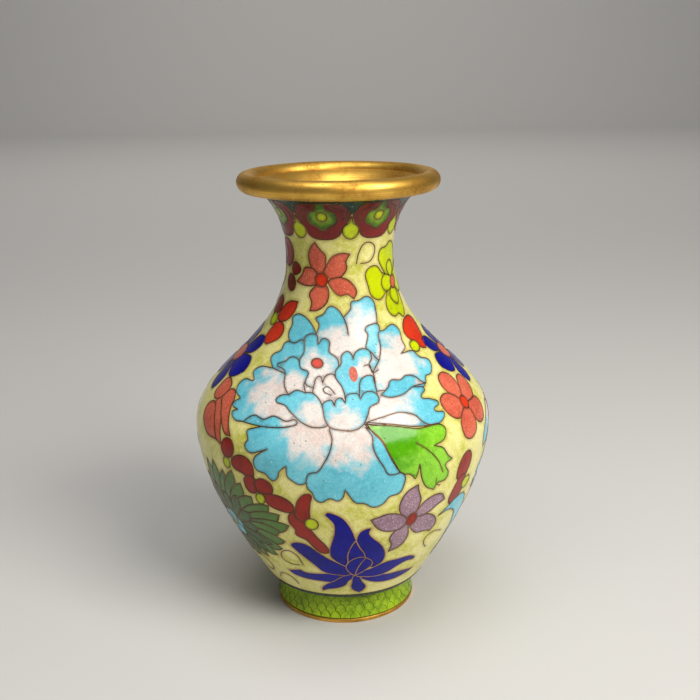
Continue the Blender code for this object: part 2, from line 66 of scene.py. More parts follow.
FAR = 9.0  # stands for no heart and no wire near by
TONE_STEP = 0.618  # step of the tone from one cell to the next

log = logging.getLogger("vase")

Point = tuple[float, ...]
Points = list[Point]
Colour = tuple[int, int, int]
Array = np.ndarray
Socket = bpy.types.NodeSocket
Tree = bpy.types.NodeTree
Material = bpy.types.Material
Piece = bpy.types.Object


def linear(red: int, green: int, blue: int) -> tuple[float, float, float, float]:
    """Turns an sRGB colour into linear light.

    Args:
        red: Red, up to 255.
        green: Green, up to 255.
        blue: Blue, up to 255.

    Returns:
        Linear RGBA.
    """
    shares = [channel / 255 for channel in (red, green, blue)]
    values = [share / 12.92 if share <= 0.04045 else ((share + 0.055) / 1.055) ** 2.4 for share in shares]
    return (*values, 1.0)


def bezier(start: Point, leave: Point, arrive: Point, end: Point, count: int = 120) -> Array:
    """Points on a cubic Bezier curve: the sum of the four points, each times its Bernstein weight.

    Args:
        start: First point.
        leave: Handle of the first point.
        arrive: Handle of the last point.
        end: Last point.
        count: How many points to give.

    Returns:
        The points, one row each.
    """
    part = np.linspace(0.0, 1.0, count)[:, None]
    rest = 1 - part
    first, second, third, last = (np.array(point, float) for point in (start, leave, arrive, end))
    return rest**3 * first + 3 * rest**2 * part * second + 3 * rest * part**2 * third + part**3 * last


def smooth(points: Points, closed: bool = True, step: float = CURVE_STEP) -> Array:
    """Samples a smooth curve that passes through the points.

    Each span is a cubic Hermite arc. Its end tangents follow the mean direction of the two spans that
    meet there, and are as long as the span. At a point given with a third number the curve has a
    corner, and the tangents follow the span itself.

    Args:
        points: The points, as (across, up) or, for a corner, (across, up, 1).
        closed: Whether the curve returns to its first point.
        step: Distance between samples.

    Returns:
        The samples, one row each.
    """
    spots = np.array([point[:2] for point in points], float)
    sharp = np.array([len(point) > 2 for point in points])
    if not closed:
        sharp[[0, -1]] = True
    ahead = np.roll(spots, -1, axis=0) - spots
    lengths = np.maximum(np.linalg.norm(ahead, axis=1), 1e-6)
    ahead = ahead / lengths[:, None]
    behind = np.roll(ahead, 1, axis=0)
    mean = ahead + behind
    mean /= np.maximum(np.linalg.norm(mean, axis=1, keepdims=True), 1e-6)
    leave = np.where(sharp[:, None], ahead, mean)
    arrive = np.where(sharp[:, None], behind, mean)
    spans = len(spots) if closed else len(spots) - 1
    samples = []
    for index in range(spans):
        after = (index + 1) % len(spots)
        count = max(int(math.ceil(lengths[index] / step)), 1)
        t = (np.arange(count) / count)[:, None]
        start_weight = 2 * t**3 - 3 * t**2 + 1
        pull = (t**3 - 2 * t**2 + t) * lengths[index] * leave[index]
        push = (t**3 - t**2) * lengths[index] * arrive[after]
        samples.append(start_weight * spots[index] + pull + (1 - start_weight) * spots[after] + push)
    if not closed:
        samples.append(spots[-1:])
    return np.vstack(samples)


def inside(points: Array, outline: Array) -> Array:
    """Tells which points lie inside a closed outline, by counting the edges that a level ray crosses.

    Args:
        points: The points to test, one row each.
        outline: The outline's points in order.

    Returns:
        One truth value for each point.
    """
    found = np.zeros(len(points), bool)
    low, high = outline.min(axis=0), outline.max(axis=0)
    near = np.flatnonzero(((points >= low) & (points <= high)).all(axis=1))
    if not len(near):
        return found
    x, y = points[near, 0], points[near, 1]
    crossed = np.zeros(len(near), bool)
    for (x0, y0), (x1, y1) in zip(outline, np.roll(outline, -1, axis=0)):
        if y0 != y1:
            crossed ^= ((y0 > y) != (y1 > y)) & (x < (x1 - x0) * (y - y0) / (y1 - y0) + x0)
    found[near] = crossed
    return found


def nearest(points: Array, targets: Array) -> Array:
    """Distance from each point to the nearest target.

    Args:
        points: The points, one row each, in two or three dimensions.
        targets: The targets, one row each.

    Returns:
        A distance for each point.
    """
    flat = (0.0,) * (3 - targets.shape[1])
    tree = KDTree(len(targets))
    for index, target in enumerate(targets.tolist()):
        tree.insert((*target, *flat), index)
    tree.balance()
    return np.array([tree.find((*point, *flat))[2] for point in points.tolist()])


def oval(x: float, up: float, half_width: float, half_height: float, lean: float = 0.0) -> Points:
    """Eight points round an oval: (half_width cos a, half_height sin a), turned by the lean.

    Args:
        x: Across place of its middle.
        up: Up place of its middle.
        half_width: Half of its width.
        half_height: Half of its height.
        lean: Its lean in degrees.

    Returns:
        The points.
    """
    turn = math.radians(lean)
    points = []
    for index in range(8):
        angle = index * math.pi / 4
        across, rise = half_width * math.cos(angle), half_height * math.sin(angle)
        place = x + across * math.cos(turn) - rise * math.sin(turn)
        points.append((place, up + across * math.sin(turn) + rise * math.cos(turn)))
    return points


def petal(x: float, up: float, turn: float, reach: float, half_width: float, root: float = 1.2) -> Points:
    """Outline of a pointed petal.

    Args:
        x: Across place of the flower's centre.
        up: Up place of the flower's centre.
        turn: Direction of the petal in degrees, 90 being straight up.
        reach: Distance from the centre to the tip.
        half_width: Half of the petal's greatest width.
        root: Distance from the centre at which the petal begins.

    Returns:
        The outline's points.
    """
    along = np.array([math.cos(math.radians(turn)), math.sin(math.radians(turn))])
    side = np.array([-along[1], along[0]])
    shape = ((0.0, 0.3), (0.25, 0.72), (0.6, 1.0), (0.87, 0.62))
    left = [(root + (reach - root) * part, share * half_width) for part, share in shape]
    right = [(distance, -width) for distance, width in reversed(left)]
    bend = 0.12 * half_width
    points = [np.array((x, up)) + along * a + side * b for a, b in left]
    tip = np.array((x, up)) + along * reach + side * bend
    points += [tip] + [np.array((x, up)) + along * a + side * b for a, b in right]
    return [(*point, 1) if index == len(left) else tuple(point) for index, point in enumerate(points)]


def petal_to(x: float, up: float, tip: Point, half_width: float, root: float) -> Points:
    """Outline of a petal that runs from near (x, up) to the tip."""
    across, rise = tip[0] - x, tip[1] - up
    return petal(x, up, math.degrees(math.atan2(rise, across)), math.hypot(across, rise), half_width, root)


def grid_triangles(rows: int, columns: int, close_rows: bool, close_columns: bool) -> Array:
    """Triangles of a grid of corners that is numbered row by row.

    Args:
        rows: Number of rows.
        columns: Number of columns.
        close_rows: Whether the last row joins the first.
        close_columns: Whether the last column joins the first.

    Returns:
        Corner numbers, one triangle a row.
    """
    row = np.arange(rows if close_rows else rows - 1)[:, None]
    column = np.arange(columns if close_columns else columns - 1)[None, :]
    after, beside = (row + 1) % rows, (column + 1) % columns
    corners = ((row, column), (after, column), (after, beside), (row, beside))
    first, second, third, fourth = ((down * columns + over).ravel() for down, over in corners)
    return np.concatenate([np.stack([first, second, third], 1), np.stack([first, third, fourth], 1)])


def make_mesh_object(
    name: str,
    points: Array,
    faces: Array,
    normals: Array | None = None,
    values: dict[str, Array] | None = None,
) -> Piece:
    """Makes a mesh object at the origin.

    Args:
        name: The object's name.
        points: Corners in metres, one row each.
        faces: Corner numbers of each face, all faces having the same number of corners.
        normals: Shading normal of each corner; without it the faces are smoothed up to 40 degrees.
        values: A number for each corner, by attribute name.

    Returns:
        The object, linked to the scene.
    """
    mesh = bpy.data.meshes.new(name)
    count, size = faces.shape
    mesh.vertices.add(len(points))
    mesh.vertices.foreach_set("co", np.ascontiguousarray(points, np.float32).ravel())
    mesh.loops.add(count * size)
    mesh.loops.foreach_set("vertex_index", np.ascontiguousarray(faces, np.int32).ravel())
    mesh.polygons.add(count)
    mesh.polygons.foreach_set("loop_start", np.arange(0, count * size, size, dtype=np.int32))
    mesh.polygons.foreach_set("loop_total", np.full(count, size, np.int32))
    mesh.update(calc_edges=True)
    mesh.shade_smooth()
    for key, numbers in (values or {}).items():
        layer = mesh.attributes.new(key, "FLOAT", "POINT")
        layer.data.foreach_set("value", np.ascontiguousarray(numbers, np.float32))
    if normals is None:
        mesh.set_sharp_from_angle(angle=math.radians(40.0))
    else:
        mesh.normals_split_custom_set_from_vertices(normals)
    made = bpy.data.objects.new(name, mesh)
    bpy.context.scene.collection.objects.link(made)
    return made


def install(piece: Piece, material: Material, nodes: tuple[str, ...] = ()) -> None:
    """Gives a piece its material and makes it ride on the vase.

    Args:
        piece: The object.
        material: The finish.
        nodes: CAD nodes that the piece stands for.
    """
    piece.data.materials.append(material)
    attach(piece, "root")
    if nodes:
        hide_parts(*nodes)
    log.info("%s: %d faces", piece.name, len(piece.data.polygons))


@dataclass
class TurnedForm:
    """A surface of revolution about Z.

    Attributes:
        profile: (radius, height) of the profile's points in millimetres, from the lower end up.
        ups: Length along the profile at each of its points.
    """

    profile: Array
    ups: Array = field(init=False)

    def __post_init__(self) -> None:
        """Measures the profile."""
        self.ups = np.concatenate([[0.0], np.cumsum(np.hypot(*np.diff(self.profile, axis=0).T))])

    def radius(self, up: Array) -> Array:
        """Radius of the profile at `up`."""
        return np.interp(up, self.ups, self.profile[:, 0])

    def height(self, up: Array) -> Array:
        """Height of the profile at `up`."""
        return np.interp(up, self.ups, self.profile[:, 1])

    def up_at(self, height: float) -> float:
        """The lowest `up` at which the profile reaches the height."""
        places = np.linspace(0.0, self.ups[-1], 4000)
        return float(places[np.argmax(self.height(places) >= height)])

    def outward(self, up: Array) -> tuple[Array, Array]:
        """The outward normal: the profile's direction turned clockwise.

        Args:
            up: Places up the profile.

        Returns:
            Radial and vertical parts of the normal at each place.
        """
        before = np.clip(up - NORMAL_REACH, 0.0, self.ups[-1])
        after = np.clip(up + NORMAL_REACH, 0.0, self.ups[-1])
        run = self.radius(after) - self.radius(before)
        rise = self.height(after) - self.height(before)
        length = np.hypot(run, rise)
        return rise / length, -run / length

    def section(self, up: Array, lift: float | Array = 0.0) -> tuple[Array, Array]:
        """Places beside the profile, moved out along its normal.

        Args:
            up: Places up the profile.
            lift: How far they are moved out.

        Returns:
            Radius and height of each place.
        """
        out, rise = self.outward(up)
        return self.radius(up) + lift * out, self.height(up) + lift * rise

    def place(self, azimuth: Array, up: Array, lift: float | Array = 0.0) -> Array:
        """Points in metres: radius times (sin azimuth, -cos azimuth), and height."""
        radius, height = self.section(up, lift)
        return MM * np.column_stack([radius * np.sin(azimuth), -radius * np.cos(azimuth), height])

    def facing(self, azimuth: Array, up: Array) -> Array:
        """Outward normals."""
        out, rise = self.outward(up)
        return np.column_stack([out * np.sin(azimuth), -out * np.cos(azimuth), rise])


@dataclass
class BodyForm(TurnedForm):
    """The enamelled body of the vase: belly and shoulder, then the neck, then the flare of the lip.

    Attributes:
        profile: (radius, height) of the outer profile's points, worked out from the places below.
        start: (radius, height) of the lower end.
        start_handle: Handle of the lower end.
        belly: (radius, height) of the widest place.
        belly_handles: Lengths of its handles below and above.
        neck: (radius, height) of the narrowest place.
        neck_handles: Lengths of its handles below and above.
        lip: (radius, height) of the upper end.
        lip_handle: Handle of the upper end.
        bottom: Lowest `up` that is enamelled.
        top: Highest `up` that is enamelled.
    """

    profile: Array = field(init=False)
    start: Point = (22.6, 8.5)
    start_handle: Point = (33.1, 25.5)
    belly: Point = (42.4, 57.0)
    belly_handles: Point = (15.5, 15.8)
    neck: Point = (15.1, 104.5)
    neck_handles: Point = (25.2, 7.5)
    lip: Point = (24.0, 123.0)
    lip_handle: Point = (17.8, 120.0)
    bottom: float = 1.76
    top: float = 129.7

    def __post_init__(self) -> None:
        """Draws the profile as three curves, end to end."""
        belly, neck = self.belly, self.neck
        below, above = self.belly_handles
        under, over = self.neck_handles
        low = bezier(self.start, self.start_handle, (belly[0], belly[1] - below), belly)
        middle = bezier(belly, (belly[0], belly[1] + above), (neck[0], neck[1] - under), neck)
        high = bezier(neck, (neck[0], neck[1] + over), self.lip_handle, self.lip)
        self.profile = np.vstack([low, middle[1:], high[1:]])
        super().__post_init__()

    def section(self, up: Array, lift: float | Array = 0.0) -> tuple[Array, Array]:
        """Radius and height of the skin at `up`, moved out along its normal by `lift`."""
        return super().section(up, lift - SKIN_DEPTH)


class Graph:
    """A node tree that is filled from left to right."""

    def __init__(self, tree: Tree) -> None:
        """Takes the tree to fill."""
        self.tree = tree

    def add(self, kind: str, inputs: dict | None = None, **settings: object) -> bpy.types.Node:
        """Adds a node.

        Args:
            kind: Blender's name of the node type, without its ShaderNode prefix.
            inputs: For each input, by name or number, a socket to link or a value to set.
            **settings: Properties of the node.

        Returns:
            The node.
        """
        node = self.tree.nodes.new("ShaderNode" + kind)
        for key, value in settings.items():
            setattr(node, key, value)
        for key, value in (inputs or {}).items():
            self.feed(node.inputs[key], value)
        return node

    def feed(self, entry: Socket, value: object) -> None:
        """Gives an input its value.

        Args:
            entry: The input.
            value: A socket to link, or a value to set.
        """
        if isinstance(value, Socket):
            self.tree.links.new(value, entry)
        else:
            entry.default_value = value

    def math(self, operation: str, first: object, second: object = 0.0) -> Socket:
        """Result of a Math node on two sockets or numbers."""
        return self.add("Math", {0: first, 1: second}, operation=operation).outputs[0]

    def plus(self, first: object, second: object) -> Socket:
        """Sum of two sockets or numbers."""
        return self.math("ADD", first, second)

    def minus(self, first: object, second: object) -> Socket:
        """The first socket or number, less the second."""
        return self.math("SUBTRACT", first, second)

    def times(self, first: object, second: object) -> Socket:
        """Product of two sockets or numbers."""
        return self.math("MULTIPLY", first, second)

    def ramp(self, value: object, low: object, high: object) -> Socket:
        """A smooth step: 0 where the value is `low` or less, 1 where it is `high` or more."""
        inputs = {"Value": value, "From Min": low, "From Max": high}
        return self.add("MapRange", inputs, interpolation_type="SMOOTHSTEP").outputs[0]

    def mix(self, factor: object, first: object, second: object) -> Socket:
        """One colour laid over another."""
        inputs = {"Factor": factor, 6: first, 7: second}
        return self.add("Mix", inputs, data_type="RGBA").outputs[2]

    def noise(self, vector: object, scale: object, detail: float = 3.0) -> Socket:
        """Value of a Noise Texture."""
        return self.add("TexNoise", {"Vector": vector, "Scale": scale, "Detail": detail}).outputs[0]


class EffectGroups:
    """The shader node groups that the finishes share.

    Each takes a Vector in millimetres and gives a mask from 0 to 1.
    """

    def __init__(self) -> None:
        """Builds every group."""
        self.mottle = self._mottle()
        self.specks = self._specks()
        self.edge_shade = self._edge_shade()
        self.two_tone = self._two_tone()
        self.brushing = self._brushing()
        self.scratches = self._scratches()

    @staticmethod
    def _open(name: str, inputs: dict[str, float]) -> tuple[Graph, bpy.types.NodeOutputs]:
        """Starts a group.

        Args:
            name: The group's name.
            inputs: Default value of each number that it takes, by name. Every group takes a Vector too.

        Returns:
            A graph to fill it with, and what it is given, by name.
        """
        tree = bpy.data.node_groups.new(name, "ShaderNodeTree")
        tree.interface.new_socket("Vector", in_out="INPUT", socket_type="NodeSocketVector")
        for key, value in inputs.items():
            socket = tree.interface.new_socket(key, in_out="INPUT", socket_type="NodeSocketFloat")
            socket.default_value = value
        tree.interface.new_socket("Mask", in_out="OUTPUT", socket_type="NodeSocketFloat")
        return Graph(tree), tree.nodes.new("NodeGroupInput").outputs

    @staticmethod
    def _close(graph: Graph, result: Socket) -> Tree:
        """Links the result to the group's output and returns the group."""
        graph.tree.links.new(result, graph.tree.nodes.new("NodeGroupOutput").inputs["Mask"])
        return graph.tree

    def _mottle(self) -> Tree:
        """Cloudy variation: noise spread about its middle value.

        Returns:
            The group.
        """
        graph, given = self._open("mottle", {"Scale": 0.2, "Spread": 0.2, "Offset": 0.0})
        value = graph.plus(graph.noise(given["Vector"], given["Scale"], 5.0), given["Offset"])
        low = graph.minus(0.5, given["Spread"])
        high = graph.plus(0.5, given["Spread"])
        return self._close(graph, graph.ramp(value, low, high))

    def _specks(self) -> Tree:
        """Scattered dots: the middles of Voronoi cells, kept in a share of the cells.

        Returns:
            The group.
        """
        graph, given = self._open("specks", {"Scale": 1.0, "Size": 0.25, "Share": 0.3})
        shift = graph.add("TexNoise", {"Vector": given["Vector"], "Scale": 1.7}).outputs["Color"]
        moved = graph.add("MixRGB", {0: 0.12, 1: given["Vector"], 2: shift}).outputs[0]
        cells = graph.add("TexVoronoi", {"Vector": moved, "Scale": given["Scale"]})
        inner = graph.times(given["Size"], 0.55)
        near = graph.minus(1.0, graph.ramp(cells.outputs["Distance"], inner, given["Size"]))
        chance = graph.add("SeparateColor", {0: cells.outputs["Color"]}).outputs[0]
        kept = graph.math("LESS_THAN", chance, given["Share"])
        return self._close(graph, graph.times(near, kept))

    def _edge_shade(self) -> Tree:
        """A ragged band of painted shade along the wires, from the distance to the nearest wire.

        Returns:
            The group.
        """
        graph, given = self._open("edge_shade", {"Distance": 1.0, "Width": 0.5, "Ragged": 0.4})
        value = graph.minus(graph.noise(given["Vector"], 0.9), 0.5)
        moved = graph.times(value, given["Ragged"])
        distance = graph.plus(given["Distance"], moved)
        return self._close(graph, graph.minus(1.0, graph.ramp(distance, 0.15, given["Width"])))

    def _two_tone(self) -> Tree:
        """A second glaze laid in from the heart of a petal, with a blotchy border.

        Returns:
            The group.
        """
        graph, given = self._open("two_tone", {"Heart": FAR, "Soft": 0.42, "Ragged": 1.45})
        coarse = graph.minus(graph.noise(given["Vector"], 0.26, 1.0), 0.5)
        fine = graph.minus(graph.noise(given["Vector"], 0.8, 2.0), 0.5)
        both = graph.plus(coarse, graph.times(fine, 0.4))
        moved = graph.times(both, given["Ragged"])
        heart = graph.plus(given["Heart"], moved)
        low = graph.minus(1.0, given["Soft"])
        high = graph.plus(1.0, given["Soft"])
        return self._close(graph, graph.minus(1.0, graph.ramp(heart, low, high)))

    def _brushing(self) -> Tree:
        """Fine lines round Z: noise over (radius, height), with a slow drift round the axis.

        Returns:
            The group.
        """
        graph, given = self._open("brushing", {"Scale": 4.0, "Spread": 0.18})
        parts = graph.add("SeparateXYZ", {0: given["Vector"]})
        across, depth = parts.outputs[0], parts.outputs[1]
        squares = graph.plus(graph.times(across, across), graph.times(depth, depth))
        drift = graph.noise(given["Vector"], 0.08, 1.0)
        place = graph.add("CombineXYZ", {0: graph.math("SQRT", squares), 1: drift, 2: parts.outputs[2]})
        lines = graph.noise(place.outputs[0], given["Scale"], 2.0)
        low = graph.minus(0.5, given["Spread"])
        high = graph.plus(0.5, given["Spread"])
        return self._close(graph, graph.ramp(lines, low, high))

    def _scratches(self) -> Tree:
        """Short thin scratches: level lines of a stretched noise, shown only in patches.

        Returns:
            The group.
        """
        graph, given = self._open("scratches", {"Scale": 0.5, "Width": 0.006, "Share": 0.62})
        turned = {"Vector": given["Vector"], "Rotation": (0.4, 0.5, 0.9), "Scale": (1.0, 0.12, 1.0)}
        lines = graph.noise(graph.add("Mapping", turned).outputs[0], given["Scale"], 0.0)
        away = graph.math("ABSOLUTE", graph.minus(lines, 0.5))
        thin = graph.minus(1.0, graph.ramp(away, 0.0, given["Width"]))
        patches = graph.noise(given["Vector"], 0.35, 1.0)
        shown = graph.ramp(patches, given["Share"], 0.68)
        return self._close(graph, graph.times(thin, shown))


class FinishBuilder:
    """Starts a material and gives its graph the things that every finish needs."""

    def __init__(self, name: str) -> None:
        """Makes a node material with a Principled BSDF and its place in millimetres.

        Args:
            name: The material's name.
        """
        self.material = bpy.data.materials.new(name)
        self.material.use_nodes = True
        self.graph = Graph(self.material.node_tree)
        self.shader = self.material.node_tree.nodes["Principled BSDF"]
        enlarged = {0: self.graph.add("TexCoord").outputs["Object"], 1: (1 / MM,) * 3}
        self.place = self.graph.add("VectorMath", enlarged, operation="MULTIPLY").outputs[0]

    def mask(self, tree: Tree, **inputs: object) -> Socket:
        """Mask given by one of the shared groups, with these inputs."""
        return self.graph.add("Group", {"Vector": self.place, **inputs}, node_tree=tree).outputs[0]

    def value(self, name: str) -> Socket:
        """A mesh attribute's value."""
        return self.graph.add("Attribute", attribute_name=name).outputs["Fac"]

    def bump(self, height: Socket, strength: float, distance: float) -> Socket:
        """Normal of a bump with this height, its distance given in millimetres."""
        inputs = {"Height": height, "Strength": strength, "Distance": distance * MM}
        return self.graph.add("Bump", inputs).outputs[0]

    def finish(self, **sockets: object) -> Material:
        """Feeds the Principled BSDF.

        Args:
            **sockets: A socket or value for each input, by name with an underscore for a space.

        Returns:
            The material.
        """
        for key, value in sockets.items():
            self.graph.feed(self.shader.inputs[key.replace("_", " ")], value)
        return self.material


@dataclass(frozen=True)
class EnamelFinish:
    """Polished opaque enamel.

    Attributes:
        name: The material's name.
        slot: Name of its slot; not used.
        body: Main colour.
        shade: Colour of the darker clouds.
        heart: Second colour, laid in where a cell has a heart.
        blush: Colour of the clouds in the second colour.
        fleck: Colour of the grains.
        fleck_share: Share of the surface that has grains.
        pit_and_shade: Colour of the pits, and of the painted shade along the wires.
        gloss: Roughness of the polished surface.
        cloud: How strongly the darker clouds show.
        grain: How strongly the colour varies from grain to grain.
        shine: Specular level.
        wire_shade_width: How far the painted shade reaches from a wire.
        dish_width: How far a cell dips towards its middle from a wire.
    """

    name: str
    slot: str
    body: Colour
    shade: Colour
    heart: Colour = (235, 222, 215)
    blush: Colour = (236, 204, 190)
    fleck: Colour = (250, 240, 230)
    fleck_share: float = 0.05
    pit_and_shade: Colour = (70, 55, 40)
    gloss: float = 0.13
    cloud: float = 0.6
    grain: float = 0.25
    shine: float = 0.27
    wire_shade_width: float = 0.75
    dish_width: float = 1.1

    def build(self, groups: EffectGroups) -> Material:
        """Builds the material.

        Args:
            groups: The shared groups.

        Returns:
            The material.
        """
        make = FinishBuilder(self.name)
        graph = make.graph
        broad = make.mask(groups.mottle, Scale=0.13, Spread=0.12)
        small = make.mask(groups.mottle, Scale=0.7, Spread=0.16)
        clouds = graph.times(broad, graph.plus(0.35, graph.times(small, 0.65)))
        colour = graph.mix(graph.times(clouds, self.cloud), linear(*self.body), linear(*self.shade))
        heart = make.mask(groups.two_tone, Heart=make.value("heart"))
        blush = make.mask(groups.mottle, Scale=0.22, Spread=0.12, Offset=-0.04)
        second = graph.mix(graph.times(blush, 0.6), linear(*self.heart), linear(*self.blush))
        colour = graph.mix(heart, colour, second)
        grains = make.mask(groups.mottle, Scale=2.2, Spread=0.14)
        tone = graph.times(make.value("tone"), 0.25)
        dark = graph.times(graph.plus(grains, tone), self.grain)
        darkened = {0: dark, 1: colour, 2: linear(*self.shade)}
        colour = graph.add("MixRGB", darkened, blend_type="MULTIPLY").outputs[0]
        flecks = make.mask(groups.specks, Scale=1.9, Size=0.34, Share=self.fleck_share)
        colour = graph.mix(graph.times(flecks, 0.5), colour, linear(*self.fleck))
        rim = make.value("rim")
        # Painted shade: the colour darkens towards the stain colour near the wires, and at the foot's top,
        # where rim counts down from the top.
        painted_shade = make.mask(groups.edge_shade, Distance=rim, Width=self.wire_shade_width, Ragged=0.5)
        colour = graph.mix(graph.times(painted_shade, 0.45), colour, linear(*self.pit_and_shade))
        pits = make.mask(groups.specks, Scale=0.75, Size=0.16, Share=0.2)
        colour = graph.mix(graph.times(pits, 0.75), colour, linear(*self.pit_and_shade))
        worn = make.mask(groups.mottle, Scale=0.5, Spread=0.25)
        rough = graph.plus(graph.times(worn, 0.08), self.gloss)
        rough = graph.plus(rough, graph.times(pits, 0.4))
        waves = graph.noise(make.place, 0.35, 1.0)
        height = graph.minus(waves, graph.times(pits, 0.8))
        height = graph.minus(height, graph.times(graph.ramp(rim, 0.0, self.dish_width), 0.4))
        normal = make.bump(height, 0.25, 0.12)
        return make.finish(Base_Color=colour, Roughness=rough, Normal=normal, Specular_IOR_Level=self.shine)


@dataclass(frozen=True)
class MetalFinish:
    """Gilt brass or copper that has been turned or drawn.

    Attributes:
        name: The material's name.
        slot: Name of its slot; not used.
        body: Colour of the bright metal.
        patina: Colour where it has dulled.
        dull: Share that has dulled, from -0.3 to 0.3.
        gloss: Roughness of the bright metal.
        lines: How strongly the turning lines show.
        bright: Colour of the metal laid bare by scratches.
        pit: Colour of the pits.
    """

    name: str
    slot: str
    body: Colour
    patina: Colour
    dull: float = 0.0
    gloss: float = 0.3
    lines: float = 0.3
    bright: Colour = (255, 226, 150)
    pit: Colour = (60, 40, 15)

    def build(self, groups: EffectGroups) -> Material:
        """Builds the material.

        Args:
            groups: The shared groups.

        Returns:
            The material.
        """
        make = FinishBuilder(self.name)
        graph = make.graph
        clouds = make.mask(groups.mottle, Scale=0.11, Spread=0.2, Offset=self.dull)
        grains = make.mask(groups.mottle, Scale=1.4, Spread=0.3, Offset=self.dull)
        brushed = make.mask(groups.brushing, Scale=4.5)
        dulled = graph.times(clouds, graph.plus(0.45, graph.times(grains, 0.55)))
        colour = graph.mix(dulled, linear(*self.body), linear(*self.patina))
        lines = graph.times(brushed, self.lines)
        colour = graph.add("MixRGB", {0: lines, 1: colour, 2: linear(*self.patina)}).outputs[0]
        pits = make.mask(groups.specks, Scale=0.6, Size=0.13, Share=0.25)
        colour = graph.mix(graph.times(pits, 0.7), colour, linear(*self.pit))
        scratched = make.mask(groups.scratches)
        colour = graph.mix(graph.times(scratched, 0.6), colour, linear(*self.bright))
        rough = graph.times(dulled, 0.25)
        rough = graph.plus(rough, graph.times(brushed, 0.1))
        rough = graph.plus(rough, self.gloss)
        height = graph.minus(graph.times(brushed, self.lines), pits)
        height = graph.minus(height, scratched)
        normal = make.bump(height, 0.3, 0.05)
        return make.finish(Base_Color=colour, Metallic=1.0, Roughness=rough, Normal=normal)


class Glaze(Enum):
    """The enamels of the vase."""

    # Its stain colour paints the shade beside the wires, which reaches further on the ground than on the
    # cells.
    GROUND = EnamelFinish(
        "pale_yellow_enamel", "ground_enamel", (243, 235, 162), (206, 206, 78),
        fleck=(246, 240, 226), fleck_share=0.16, pit_and_shade=(150, 118, 62), cloud=0.95, grain=0.3, wire_shade_width=1.1
    )
    SKY = EnamelFinish(
        "sky_blue_enamel", "peony_enamel", (124, 212, 226), (86, 182, 202), (246, 230, 220),
        cloud=0.65, fleck_share=0.03
    )
    LEAF = EnamelFinish(
        "leaf_enamel", "leaf_enamel", (152, 218, 60), (116, 186, 34), (84, 166, 8), (96, 176, 20),
        (176, 226, 110)
    )
    MOSS = EnamelFinish(
        "moss_green_enamel", "leaf_enamel", (84, 128, 22), (50, 88, 14), (150, 186, 34), (120, 160, 24),
        (140, 180, 60)
    )
    COBALT = EnamelFinish(
        "cobalt_enamel", "cobalt_enamel", (8, 14, 152), (4, 8, 104), fleck=(36, 44, 196),
        pit_and_shade=(24, 24, 70), shine=0.16
    )
    BRICK = EnamelFinish("brick_red_enamel", "red_enamel", (164, 38, 20), (122, 20, 12), fleck=(190, 62, 40))
    OXBLOOD = EnamelFinish("oxblood_enamel", "red_enamel", (138, 32, 26), (92, 18, 14), fleck=(160, 56, 44))
    SCARLET = EnamelFinish("scarlet_enamel", "red_enamel", (222, 62, 30), (190, 40, 20), fleck=(236, 96, 64))
    CORAL = EnamelFinish(
        "coral_enamel", "coral_enamel", (222, 112, 84), (190, 80, 60), fleck=(250, 176, 146), fleck_share=0.5
    )
    OLIVE = EnamelFinish("olive_enamel", "olive_enamel", (98, 140, 56), (60, 98, 34), fleck=(120, 160, 80))
    LILAC = EnamelFinish(
        "lilac_enamel", "lilac_enamel", (172, 140, 154), (134, 102, 122),
        fleck=(236, 218, 226), fleck_share=0.8
    )
    LIME = EnamelFinish("lime_enamel", "yellow_enamel", (210, 224, 10), (172, 190, 4), fleck=(226, 234, 90))
    DEEP_GREEN = EnamelFinish(
        "deep_green_enamel", "olive_enamel", (66, 104, 40), (36, 70, 22), fleck=(84, 124, 54)
    )
    # Dark green enamel with whitish flecks; on the band at the foot its darkness is partly painted shadow
    # under the belly.
    BAND = EnamelFinish(
        "dark_band_enamel", "olive_enamel", (36, 62, 34), (18, 34, 20),
        fleck=(168, 176, 160), fleck_share=0.45
    )
    # Its stain colour is also the painted shadow under the belly at the foot's top.
    FOOT = EnamelFinish(
        "foot_green_enamel", "foot_enamel", (176, 208, 36), (106, 142, 20),
        fleck=(190, 216, 90), pit_and_shade=(24, 34, 12), cloud=0.8
    )
    LINING = EnamelFinish("lining_blue_enamel", "lining_enamel", (60, 150, 165), (40, 112, 128), gloss=0.3)
    BASE = EnamelFinish("base_green_enamel", "base_enamel", (70, 140, 120), (44, 104, 90), gloss=0.25)


class Metal(Enum):
    """The metals of the vase."""

    GILDING = MetalFinish("gilding", "gilding", (242, 194, 90), (146, 100, 32), -0.01, 0.35, 0.3)
    COPPER = MetalFinish("copper", "copper", (196, 112, 74), (110, 62, 40), 0.1, 0.38, 0.2)
    WIRE = MetalFinish("cloison_wire", "cloison_wire", (150, 104, 66), (78, 54, 38), 0.1, 0.36, 0.0)
    GREENED_WIRE = MetalFinish(
        "greened_cloison_wire", "cloison_wire", (104, 132, 36), (66, 92, 22), 0.0, 0.5, 0.0
    )
    BRIGHT_WIRE = MetalFinish(
        "bright_cloison_wire", "cloison_wire", (214, 168, 104), (140, 100, 62), 0.0, 0.3, 0.0
    )


class FinishShelf:
    """Holds one built material for each glaze and metal, made when it is first asked for."""

    def __init__(self) -> None:
        """Builds the shared groups."""
        self.groups = EffectGroups()
        self.built: dict[Enum, Material] = {}

    def get(self, kind: Glaze | Metal) -> Material:
        """The material of a glaze or a metal.

        Args:
            kind: The glaze or metal.

        Returns:
            Its material.
        """
        if kind not in self.built:
            self.built[kind] = kind.value.build(self.groups)
        return self.built[kind]


@dataclass
class Cell:
    """One enamel cell of a motif.

    Attributes:
        glaze: Its enamel.
        outline: Its outline on the card.
        heart: Across and up of the place where the second glaze is laid, and how far it reaches.
        wired: Whether a wire follows the outline.
    """

    glaze: Glaze
    outline: Points
    heart: tuple[float, float, float] | None = None
    wired: bool = True


